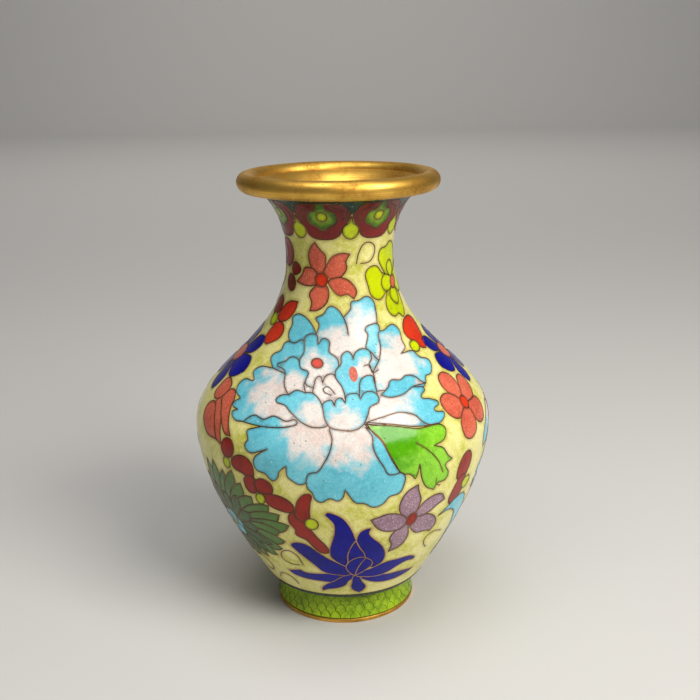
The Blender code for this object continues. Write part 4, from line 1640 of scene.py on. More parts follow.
SKY, RED, LIME, BRICK, CORAL = Glaze.SKY, Glaze.SCARLET, Glaze.LIME, Glaze.BRICK, Glaze.CORAL
PEONY_CELLS = [
    Cell(SKY, [
        (-14, 66), (-16, 72), (-14, 82), (-8, 88), (0, 90), (9, 86), (12, 78), (10, 66), (5, 64), (-4, 64),
    ], (-3, 75, 14), False),
    Cell(SKY, [
        (-14.8, 87.5), (-15.3, 89.7), (-14.2, 92.3), (-14.3, 94), (-12, 95.2), (-9.3, 94.3), (-7.3, 92),
        (-6.6, 90), (-8, 86), (-12, 85),
    ]),
    Cell(SKY, [
        (1, 95.2, 1), (2.8, 97.3), (3, 99), (5, 99.3), (7.3, 100.2), (9.3, 99), (10.2, 95.7), (10.4, 91),
        (10.9, 84), (9, 78), (3, 77), (-1.4, 80), (-2, 86), (-1, 91),
    ], (3.2, 87.5, 8.2)),
    Cell(SKY, [
        (-6.5, 90.5, 1), (-5.8, 93), (-6.7, 94.5), (-4.7, 95.7), (-2.7, 98), (-0.7, 97.3), (0.7, 95.3),
        (1.7, 92.7), (2.1, 90.2, 1), (1.5, 84), (-3, 83), (-5, 87),
    ], (0.2, 87.5, 4.8), False),
    Cell(SKY, [
        (10.5, 92.4), (8.5, 92.5), (7, 92), (6.7, 91.2), (7.4, 90), (7.1, 88), (6.8, 86.3), (8.25, 84.8),
        (9.6, 83), (10.5, 82.4), (11, 84), (10.8, 88),
    ], (12, 84, 3)),
    Cell(SKY, [
        (10.9, 90.4), (12, 90.4), (15.3, 91.5), (18, 89.5), (18.5, 86.5), (19.3, 84.3), (17.5, 83, 1),
        (22, 82.8), (24.5, 80.5), (28.5, 78.5), (28.8, 76.5), (27.5, 75), (25.3, 74.8), (24.8, 73), (20, 71),
        (11, 71), (9, 74), (8.6, 79), (10.4, 82.5), (11, 86),
    ], (15.5, 79.5, 8)),
    Cell(SKY, [
        (21, 72.8), (24, 71.5), (22.5, 69.8), (25.5, 68.5), (28.3, 66.5), (26.5, 65.5), (30, 63.5),
        (28.5, 61.8), (25, 61.6), (20, 62.4), (13, 64), (6.4, 65), (5, 68), (8, 73), (12, 73.5),
    ], (10, 69.5, 8.5)),
    Cell(SKY, [
        (6.4, 65.2, 1), (10.3, 66.1), (15.3, 66.8), (18, 66.1), (20, 65.2), (22, 63.2), (24, 62),
        (28, 61.5, 1), (20, 62.3), (13, 64),
    ], (12, 65, 7)),
    Cell(SKY, [
        (10.3, 72.3, 1), (12.5, 74.3), (13.3, 76), (16.5, 75.8), (18, 76.6), (21, 75.8), (23.5, 73.6),
        (25, 73, 1), (20, 73), (17, 71.6), (13, 71.3),
    ], (23.5, 74, 3.2)),
    Cell(SKY, [
        (-20, 79, 1), (-24.3, 78.5), (-27.3, 76), (-26.3, 74.4), (-29.8, 73.8), (-32.5, 71.8), (-33, 69.7),
        (-30.5, 68.3, 1), (-33.2, 65.8), (-30.8, 65.2, 1), (-33, 63.8), (-31.5, 62.4), (-28, 62.6),
        (-20, 62.5), (-12, 63), (-9, 67), (-11, 73), (-15, 81),
    ], (-15.5, 69.5, 9.5)),
    Cell(SKY, [
        (-24.5, 61.6), (-26.5, 60.5), (-26.1, 58.5), (-27.1, 57), (-26.7, 55.8), (-25, 55.2), (-22.5, 56),
        (-19.8, 57.1, 1), (-22.5, 55.5), (-23.8, 54.3), (-24.3, 52.5), (-23.3, 50.8), (-20.8, 50.3),
        (-18.5, 48.6), (-17, 49.8), (-16.5, 51.5), (-14.6, 53.3, 1), (-14.3, 50.5), (-12.8, 49.3),
        (-11, 48.5), (-9.3, 49.3), (-8.5, 51.8), (-6.3, 52.5), (-4.5, 55), (-3, 58), (-2, 64.5), (-8, 65),
        (-14, 64.4), (-20, 63),
    ], (-7.5, 62, 6.8)),
    Cell(SKY, [
        (-28, 62.5, 1), (-27, 63.5), (-24, 65.1), (-21.5, 64.5), (-18, 65.9), (-14.5, 65), (-11.75, 65.6),
        (-11.4, 64.9), (-13.5, 63.75), (-19.5, 62.75),
    ], (-14, 64.8, 2.2)),
    Cell(SKY, [
        (-8.5, 51.8), (-9.1, 48), (-7.8, 46.3), (-7, 44.3), (-5.5, 43.6), (-3.3, 44.8), (-1, 44.1), (0, 45),
        (0.7, 47.4, 1), (1.8, 45.5), (3.5, 43.3), (5.5, 43), (8, 41.5), (10.5, 42.3), (12.3, 44.3), (15, 45),
        (16.3, 47.5), (16.5, 50), (15.5, 51), (12.3, 52), (9.5, 56.5), (8, 60), (6.5, 64.5), (2, 65),
        (-2.8, 64.2), (-2.4, 61), (-3, 58), (-4.5, 55), (-6.3, 52.5),
    ], (2.8, 61.5, 7.4)),
    Cell(SKY, [
        (6, 64, 1), (8, 62.6), (10.5, 60), (12, 57), (13.4, 54.4), (15.2, 51, 1), (13.25, 50.75), (12, 51),
        (10.5, 53.6), (9, 56), (8, 58.6), (7.8, 61.4),
    ]),
    Cell(SKY, [
        (-19.75, 79, 1), (-21, 81.5), (-20.25, 82.75), (-17.5, 84.5), (-16.5, 86.5), (-15, 87.4),
        (-13.25, 87.1), (-10.25, 88.3), (-8, 85), (-9, 80), (-13, 78), (-17, 78.5),
    ], (-13.5, 79.5, 3)),
    Cell(SKY, [
        (-18.25, 80.1), (-17, 81), (-15.5, 81.75), (-14.5, 82.75), (-12.75, 83.25), (-11.5, 82.5),
        (-10.75, 80.5), (-8.75, 79.5), (-9, 78), (-9.75, 76), (-9.5, 72), (-12, 71), (-14.2, 72.5),
        (-15.5, 75), (-15.75, 79), (-17, 79.6),
    ], (-12.5, 75.5, 4.2)),
    Cell(SKY, [
        (-10, 87.5), (-9.75, 89.25), (-8, 90.25), (-6.5, 90.1), (-6, 87.5, 1), (-4.5, 89.25), (-3, 88.5),
        (-3, 85.5), (-1, 83.75), (-0.5, 82), (-1.4, 78), (-3.5, 76), (-7, 75), (-9.4, 76), (-8.75, 79.5),
        (-10.75, 80.25), (-11.25, 82.5), (-10, 85),
    ], (-6.5, 80.6, 4.4)),
    Cell(SKY, [
        (0, 82), (0.25, 84.5), (1.75, 85.6), (3, 84.5), (3.25, 83.25, 1), (3.75, 85), (5.5, 86.1),
        (7.5, 85.5), (8.25, 83), (7.5, 81.5), (8.5, 79), (9, 75.5), (8, 72), (4.75, 71), (1, 71), (0.6, 75),
        (-1, 77), (-1.4, 80),
    ], (6.6, 79.8, 3.1)),
    Cell(SKY, [
        (5, 76.75), (6, 78), (8.25, 78.1), (8.75, 76.5), (9.25, 74), (9.3, 71), (7, 70), (5, 71), (4.8, 74),
    ]),
    Cell(SKY, [
        (-7, 76), (-6.5, 77.75), (-5.5, 78.4), (-4.75, 76.4, 1), (-4, 78.5), (-2, 79.1), (-1.25, 77.75),
        (0.4, 75), (1, 72), (0.5, 69), (-4, 69), (-6, 71.5), (-7.3, 73.5),
    ], (-3, 75, 7)),
    Cell(SKY, [
        (-17.75, 70.1), (-16.5, 71.75), (-14, 72.5), (-11.75, 73.9), (-9.5, 73.5), (-7.5, 73.5),
        (-5.5, 71.5), (-4.75, 69.5), (-3.4, 65), (-7, 64), (-10, 65), (-13.5, 67.75), (-15, 69.25),
    ], (-7, 66.8, 4.3)),
    Cell(SKY, [
        (-4.75, 70.5), (-4, 71.25), (-2.5, 71.6), (-1.75, 70, 1), (-1.25, 71.75), (0, 72.25), (1, 70.75, 1),
        (1.5, 73), (3, 73.4), (4.25, 73.25), (5, 71.75, 1), (6, 73.4), (8, 73.6), (9.75, 72), (9.75, 70.5),
        (7.5, 69.25), (6.75, 67), (5.5, 64.5), (3, 63.25), (0, 63.4), (-3, 64.25), (-4.25, 66.5),
        (-4.6, 68.5),
    ], (0.5, 64.6, 4.4)),
    Cell(RED, oval(-6.25, 82.1, 1.6, 1.4)),
    Cell(CORAL, oval(3.25, 79, 1.1, 2.3, 8), None, False),
]
PEONY_WIRES = [
    [(-4.6, 74.75), (-3.75, 75.5), (-2.75, 75), (-1.5, 73.25)],
    [(-4.6, 74.9), (-4.4, 74), (-2.5, 73)],
    PEONY_CELLS[3].outline[:9],
    [(6, 81.1), (7.5, 81.3), (8.5, 79), (10, 79.6)],
]
LEAF_CELLS = [
    Cell(Glaze.LEAF, [
        (5.8, 64.8, 1), (13, 63.6), (20, 61.8), (29.5, 60), (29.3, 57.5), (25.5, 56.3, 1), (28.5, 55),
        (30.3, 52.5), (32, 51, 1), (29.5, 50), (30.6, 47.4), (29.8, 45.5), (26.6, 45), (25.5, 43.4, 1),
        (23, 45), (21.5, 48), (20.8, 52.3, 1), (20.3, 50), (19.5, 48.3, 1), (18, 50), (16, 50.5), (13, 54.5),
        (10.5, 59.5), (8, 62.4),
    ], (14, 59.5, 6.5)),
]
LEAF_WIRES = [[(19.8, 58.2), (24, 55), (27, 51.5), (28.5, 48)], [(26.3, 46.6), (26.3, 45), (27.6, 44.2)]]
LOTUS_CELLS = cells_of(
    Glaze.COBALT,
    [(-6.7, 10.2), (-11.3, 10.5), (-14.9, 11.4), (-16.9, 13.2, 1), (-15, 13.8), (-12.6, 15, 1),
     (-11.3, 14.1), (-6.7, 14.3), (-2, 15), (2, 14), (1, 11), (-3, 10)],
    [(-14.7, 26.2), (-14, 27.5), (-12, 28), (-9.9, 27.4), (-6.7, 24.5), (-3.5, 21.5), (1, 18), (2.5, 14),
     (-1, 14), (-5.8, 15.3), (-8.1, 18.2), (-10.4, 20.9), (-13.5, 24.5)],
    [(-4.7, 39.3, 1), (-4.2, 40.2), (-2.2, 39.8), (0.1, 38.2), (1.9, 35), (2.9, 31.8), (3.4, 29.5),
     (3.4, 24), (2, 18), (-1, 19.5), (-3.5, 22.7), (-3.8, 25.5), (-3.1, 29.5), (-2.4, 33.2), (-2.6, 36.4)],
    [(3.6, 31), (4.6, 33.2), (6.6, 34.2), (7.5, 34.2, 1), (6.9, 32.3), (8.1, 30), (9.8, 27.7), (11.1, 24.5),
     (11.3, 21.4), (10.3, 18.6), (7, 17), (5, 19), (4, 24), (3.3, 28)],
    [(1, 21.8), (1.2, 24.5), (2.2, 27.7), (3.3, 29.8, 1), (4.2, 26.8), (5.6, 23.4), (5, 19), (2, 18)],
    [(1, 10.5), (0.3, 8.6), (-2.2, 6.8), (-4.5, 6.1), (-6.3, 4.9, 1), (-6.5, 6.4), (-5.4, 8.6), (-3.1, 10.6),
     (0, 13.5), (3, 13.8)],
    [(21.6, 10.4, 1), (19.8, 9.2), (17, 8.3), (13, 7.9), (9.5, 8.5), (6, 10.5), (3.5, 13.8), (7, 14),
     (11.5, 12.2), (16, 11.8)],
    [(1.9, 9.5), (1.7, 7.7), (2.4, 5.5), (4, 4.1, 1), (5.3, 5.3), (6, 7.3), (5.1, 9.6), (3.2, 13.6)],
    [(8, 16.8), (9.6, 17.7), (12.4, 18.7), (16, 18.7), (19.2, 18.4), (21.2, 16.9), (21, 15.8), (18.3, 16.1),
     (15.5, 15), (12.8, 13.2), (10.1, 12.2), (6, 12.4), (3.2, 13.6)],
    [(0.5, 18.2), (1.7, 20.9), (4.2, 22.4), (6, 22, 1), (7.6, 20), (7.6, 18.2), (6, 16.2), (2.8, 13.4, 1),
     (1.2, 15.6)],
)
LOTUS_WIRES = [[(6, 22), (4.9, 20), (3.7, 17.3), (2.9, 13.8)]]
SPRAY_CELLS = cells_of(
    BRICK,
    [(-32.4, 51.4), (-31, 52.9), (-28, 53.8), (-25.4, 52.8), (-24.4, 50.6), (-25, 47.8), (-28.5, 48.6),
     (-32, 49.8)],
    [(-27.8, 45.2), (-28, 47), (-26, 48.6), (-24, 48), (-23, 45.5), (-24.2, 43.5), (-26.4, 43.3)],
    [(-24.4, 46.4), (-23.2, 48.2), (-20.8, 48.4), (-18.9, 47), (-18.9, 44.7), (-20.6, 43.4), (-23.2, 44)],
    [(-21.6, 43.6), (-19.5, 44.3), (-16, 44), (-13.9, 42.8), (-12.8, 41), (-13.4, 39.4), (-17, 39.3),
     (-20, 40.3), (-21.6, 42)],
    [(-14.2, 38.8), (-14.6, 35.6), (-13, 33), (-12.9, 31.2), (-10, 29.4), (-8, 26.6), (-6, 24.4), (-4, 24.6),
     (-4.6, 27.4), (-7, 31), (-8.4, 33.6), (-9.2, 36), (-9.4, 39), (-11.6, 40)],
    [(-12.6, 38), (-12.4, 41.6), (-11.6, 44), (-9.8, 45.8), (-8.2, 45.8), (-8.4, 43), (-8.7, 40),
     (-8.8, 37.6), (-10.6, 36.6)],
) + [Cell(LIME, oval(-22.8, 42, 1.5, 1.8)), Cell(LIME, oval(-8.3, 35.9, 1.8, 2, 10))]
LILAC_CELLS = cells_of(
    Glaze.LILAC,
    [(16.9, 36), (15.1, 39.1), (15.5, 42.3), (17.4, 45), (20.5, 46.4, 1), (20.8, 44.1), (21.5, 41.4),
     (20.3, 37.7), (18.8, 35)],
    [(19.5, 36), (20.5, 37.8), (22.4, 40), (26, 41.4), (28.7, 40.9), (30.1, 38.4, 1), (27.4, 37.5),
     (24.6, 35.9), (21, 35.3)],
    [(20, 35), (21, 35.3), (24.6, 35), (27.4, 31.8), (27.4, 29.5), (25.5, 27.2, 1), (24.2, 28.2),
     (20.5, 28.9), (18.5, 31.8), (18.5, 34)],
    [(18.4, 33.5), (18, 31.8), (18, 29.1), (16, 25), (12.2, 23.2, 1), (13, 26.4), (12.4, 28.6), (13.7, 31.4),
     (16, 32.6)],
    [(17.6, 34.4), (16.5, 33), (13.7, 31.8), (9.6, 33.2), (7.2, 37.2, 1), (9.6, 38), (12.4, 38.6),
     (16.5, 36.8)],
) + [Cell(BRICK, oval(18.8, 35, 1.5, 2.3, -18))]
NECK_FLOWER_CELLS = cells_of(
    CORAL,
    [(-7.3, 107), (-8.8, 110.3), (-8.3, 113), (-6.7, 114.9, 1), (-5.3, 113), (-3.7, 111.3), (-3.7, 109.3),
     (-4.6, 106)],
    [(-4.2, 106), (-3.4, 109), (-1.7, 111.2), (1, 112), (2.9, 111.7, 1), (1.8, 109.7), (2, 108),
     (0.5, 105.8), (-2.4, 105)],
    [(-3, 104.6), (-1.2, 105.4), (0.7, 105.5), (3.3, 104), (4.6, 101.5), (3.8, 99.7, 1), (2, 101),
     (0, 100.7), (-2, 102.3)],
    [(-4.6, 104), (-3.3, 103), (-3, 100.7), (-3.7, 98.7), (-6.3, 96.7), (-8.6, 96.4, 1), (-8, 98.7),
     (-8.7, 100.7), (-7.4, 102.6)],
    [(-5.6, 104.6), (-7, 103.3), (-10.3, 103), (-13.4, 103.6, 1), (-11.3, 105.7), (-10, 107.7),
     (-7.7, 107.7), (-6, 106.3)],
) + [Cell(RED, oval(-5, 104.8, 1.8, 1.8))]
YELLOW_FLOWER_CELLS = cells_of(
    LIME,
    [(7.3, 106.3), (9, 107.8), (11, 107.7), (13, 105.7), (15, 104.9), (18, 104), (18, 101), (14.8, 100.5),
     (11.7, 98.7), (9, 100), (8, 102.7)],
    [(14.6, 105), (13, 107), (11.7, 109.7), (12.5, 112), (15, 112.5), (17, 113.6), (19.6, 112.6), (21, 110),
     (20.4, 106.5), (18, 103.4)],
    [(15.4, 101), (14, 97.7), (15, 94.7), (17.3, 93.3), (19, 93.8), (21.6, 92.4), (23, 94.6), (22, 98.6),
     (19, 102)],
    [(18, 103.6), (21, 106), (24, 107.4), (26.5, 105), (26, 101), (23, 99), (19.6, 101)],
    [(12.7, 103), (13.6, 104.8), (15.4, 104.8), (17.4, 103.4), (16.6, 101), (15, 100.4), (13.4, 101.2)],
    [(15.2, 107), (16.4, 108.4), (18.2, 107.8), (18.8, 105.4), (17.6, 104), (16, 105)],
    [(16.1, 99.3), (17.6, 97.2), (20, 96.4), (20.6, 98.4), (19, 100.8), (17, 101)],
) + [Cell(CORAL, oval(18.6, 102.4, 1.7, 1.8))]
RUYI_CELLS = [
    Cell(Glaze.OXBLOOD, [
        (0, -5.5), (2.7, -5.2), (4.5, -4), (5.1, -2.5), (6, -1.4), (7.1, 0), (7.75, 1.5), (7.5, 3.1),
        (6.7, 4.6), (5, 5.5, 1), (-5, 5.5, 1), (-6.7, 4.6), (-7.5, 3.1), (-7.75, 1.5), (-7.1, 0), (-6, -1.4),
        (-5.1, -2.5), (-4.5, -4), (-2.7, -5.2),
    ]),
    Cell(Glaze.MOSS, [
        (-4, 0.9), (-3.3, 2.6), (-1.7, 3.2), (-1, 5.6, 1), (1, 5.6, 1), (1.7, 3.2), (3.3, 2.6), (4, 0.9),
        (3.5, -0.9), (1.8, -1.9), (0, -2.9), (-1.8, -1.9), (-3.5, -0.9),
    ], (0, 1, 2.6)),
    Cell(LIME, oval(0, 1.1, 1.4, 1.4)),
]
RUYI_WIRES = [
    [(2.3, 5.4), (2.9, 4.1), (4.3, 3.7), (5.7, 2.9), (6.2, 1.5), (5.5, 0.2)],
    [(-2.3, 5.4), (-2.9, 4.1), (-4.3, 3.7), (-5.7, 2.9), (-6.2, 1.5), (-5.5, 0.2)],
]
DROP_CELLS = [
    Cell(LIME, [(0, 4.4, 1), (-0.5, 2.4), (-2, 0.9), (-2, -1), (0, -2.4), (2, -1), (2, 0.9), (0.5, 2.4)])
]
CORAL_LEAF_CELLS = cells_of(
    CORAL,
    [(-8, 65), (-5.3, 65.7), (-2, 62.7), (0.4, 58), (1.9, 54.5, 1), (-0.7, 55.3), (-4, 58.4)],
    [(-6, 66.7), (-4.7, 69), (-2.3, 69.7), (-0.3, 68), (0.7, 64.7), (3.3, 60), (5.2, 57.8, 1), (2.7, 57.9),
     (-0.7, 60.7), (-3.6, 64)],
    [(-12.3, 60), (-11.3, 62.7), (-8, 64), (-4.7, 60.7), (-0.7, 55.3, 1), (-6, 55.3), (-10, 57.3)],
    [(-10.3, 70.9), (-8.7, 71.7), (-6.7, 71.4), (-4.9, 69.9), (-5.4, 67.3), (-8.7, 64.7), (-11.7, 66),
     (-11.3, 68.7)],
)
CORAL_FLOWER_CELLS = cells_of(
    CORAL,
    [(4.4, 65), (1.6, 67), (0, 70), (1.2, 73.2), (4.6, 73.8), (7, 71.6), (7.2, 68)],
    [(4, 63.6), (2.6, 66.4), (-0.6, 68.4), (-4, 67.2), (-4.4, 63.8), (-2, 61), (1.6, 61)],
    [(5.6, 64.6), (7.2, 67.8), (9.4, 70.4), (12.6, 70.2), (14, 67), (12.2, 63.8), (8.4, 63)],
    [(6, 63), (9, 63.2), (12.6, 63), (14.6, 60.2), (13, 56.8), (9.2, 56.4), (6.4, 59)],
    [(5, 62.4), (6.6, 59), (6, 55.6), (3, 54), (-0.4, 55.2), (-1, 59), (2, 62)],
) + [Cell(RED, oval(5, 63.8, 1.8, 1.9))]
BLUE_FLOWER_CELLS = [
    Cell(Glaze.COBALT, petal(0, 78, turn, reach, half_width, 3))
    for turn, reach, half_width in ((102, 10.8, 3.4), (162, 11.6, 3.6), (-130, 12, 3.8), (40, 12, 3.2),
                                    (-68, 13.6, 3.3), (-14, 13.6, 4))
] + [Cell(CORAL, oval(0, 78, 4, 3.2, 10))]
RED_BLOSSOM_LEFT_CELLS = [
    Cell(RED, [
        (-4.8, 86), (-4.3, 89.6), (-2.6, 91.6), (0, 91.7), (1.7, 89.9), (1.5, 87.6), (-0.6, 85.7),
        (-2.6, 84.7),
    ]),
    Cell(RED, [
        (-3.6, 92.7), (-2.9, 95.9), (-0.3, 98), (2.9, 98.4, 1), (2.7, 95.3), (1, 92.8), (-1.4, 92),
    ]),
    Cell(BRICK, [(-9, 94), (-8, 97.4), (-5, 98.6), (-3.4, 96.6), (-4, 94.4), (-6.4, 93)]),
    Cell(LIME, oval(-5.6, 91.9, 2, 1.8)),
]
RED_BLOSSOM_RIGHT_CELLS = [
    Cell(RED, [
        (0, 88), (1.2, 90.4), (3.6, 91.9), (7, 91.9), (9.3, 90), (8.8, 87), (7.4, 84.4), (5.4, 81.8, 1),
        (3.4, 82.6), (1.4, 85),
    ]),
    Cell(LIME, oval(1, 83.8, 2, 1.7, 20)),
]
NECK_RED_CELLS = [
    Cell(BRICK, oval(-18.3, 111, 3.6, 4, 10)),
    Cell(BRICK, [(-15.6, 107), (-14.6, 108.6), (-12.6, 108.4), (-11.6, 107), (-13, 105.6), (-15, 105.4)]),
    Cell(BRICK, oval(-16, 103, 2.2, 2.3)),
    Cell(BRICK, oval(-16, 103, 1, 1)),
]
CHRYSANTHEMUM_TIPS = [
    (-8, 47.5), (-3.5, 48.5), (1.5, 47), (5.8, 48.2), (8.6, 45), (11.4, 41.6), (16.6, 40), (19, 37.4),
    (20.6, 34), (16.6, 31), (16.4, 27), (13.6, 23.2), (10, 19.4), (4.6, 16.4), (0, 14.8), (-6, 14.6),
    (-11, 16.6), (-13.6, 20), (-14.6, 24), (-14.4, 28), (-14, 32), (-13.4, 36.4), (-11.4, 42),
]
CHRYSANTHEMUM_CELLS = [
    Cell(Glaze.OLIVE, petal_to(-3, 28, tip, 2.5, 4)) for tip in CHRYSANTHEMUM_TIPS
] + [
    Cell(Glaze.DEEP_GREEN, petal(-3, 28, 8 + index * 24, 11.4 + 1.4 * (index % 3), 1.9, 3))
    for index in range(15)
] + [
    Cell(SKY, petal(-4, 27, 15 + index * 60, 5.2, 2.3, 0.4)) for index in range(6)
] + [Cell(LIME, oval(-4, 27, 1.3, 1.3))]
LOW_RIGHT_CELLS = [
    Cell(SKY, petal(23, 59, 246, 11, 2.8, 1), (22, 58, 5)),
    Cell(SKY, petal(23, 59, 222, 15.5, 3.1, 1), (22, 58, 6)),
    Cell(BRICK, [
        (-2.9, 43.6), (-3.2, 47.4), (-1.2, 50.4), (1.4, 50.9), (3.1, 49), (2.6, 45.6), (0.6, 42.8),
    ]),
    Cell(BRICK, [(-4, 36.6), (-3.6, 40.6), (-1.6, 43.6), (0.8, 44), (1.5, 41), (0.8, 37.4), (-1.6, 35)]),
    Cell(LIME, oval(2.6, 40.7, 2.1, 2)),
    Cell(SKY, [
        (-6.4, 32.6, 1), (-3.4, 34.6), (-0.4, 36.4), (3.6, 36.6), (6.4, 34), (8.8, 29.4), (9.4, 24), (9, 18),
        (7.6, 13), (5.4, 10.6), (5.8, 15), (5.8, 20.4), (4.4, 26), (1.6, 31), (-2, 33),
    ]),
]
SPRAY_TAIL_CELLS = [
    Cell(BRICK, [(1.8, 54), (2.8, 56.6), (5.6, 57), (7.2, 54.6), (6, 52.2), (3, 51.9)]),
    Cell(LIME, oval(3.9, 50.1, 1.5, 1.6)),
]
BACK_BLOSSOM_CELLS = LOW_RIGHT_CELLS[2:5]
TENDRIL = [
    (4.6, 108.9), (5.3, 111.7), (6.7, 114), (8.3, 114.5), (10.2, 113.3), (10.2, 111.3), (8.7, 109.3),
    (5.8, 108.9),
]
FRONT_TENDRILS = [
    TENDRIL,
    [(-11.5, 17.6), (-13.4, 22), (-15.4, 23.3), (-17.6, 22.2), (-18.2, 19.6), (-17, 17.7), (-14.6, 16.9),
     (-12.6, 17.2)],
    [(-20.4, 7), (-19.6, 9.4), (-17, 9.9), (-15, 8.4), (-13.8, 6.2)],
    [(25.2, 19.6), (24, 22), (24.4, 24.6), (26.6, 26), (29, 25.6), (31.2, 24.2)],
]
LOW_TENDRILS = [
    [(-3.4, 10.4), (-5.2, 14), (-3, 17), (0.4, 16.4), (1.2, 13.4), (-0.8, 11.4)],
    [(6, 8.4), (9.6, 9.4), (11.4, 12.4), (9.8, 15.2), (7, 14.4)],
]


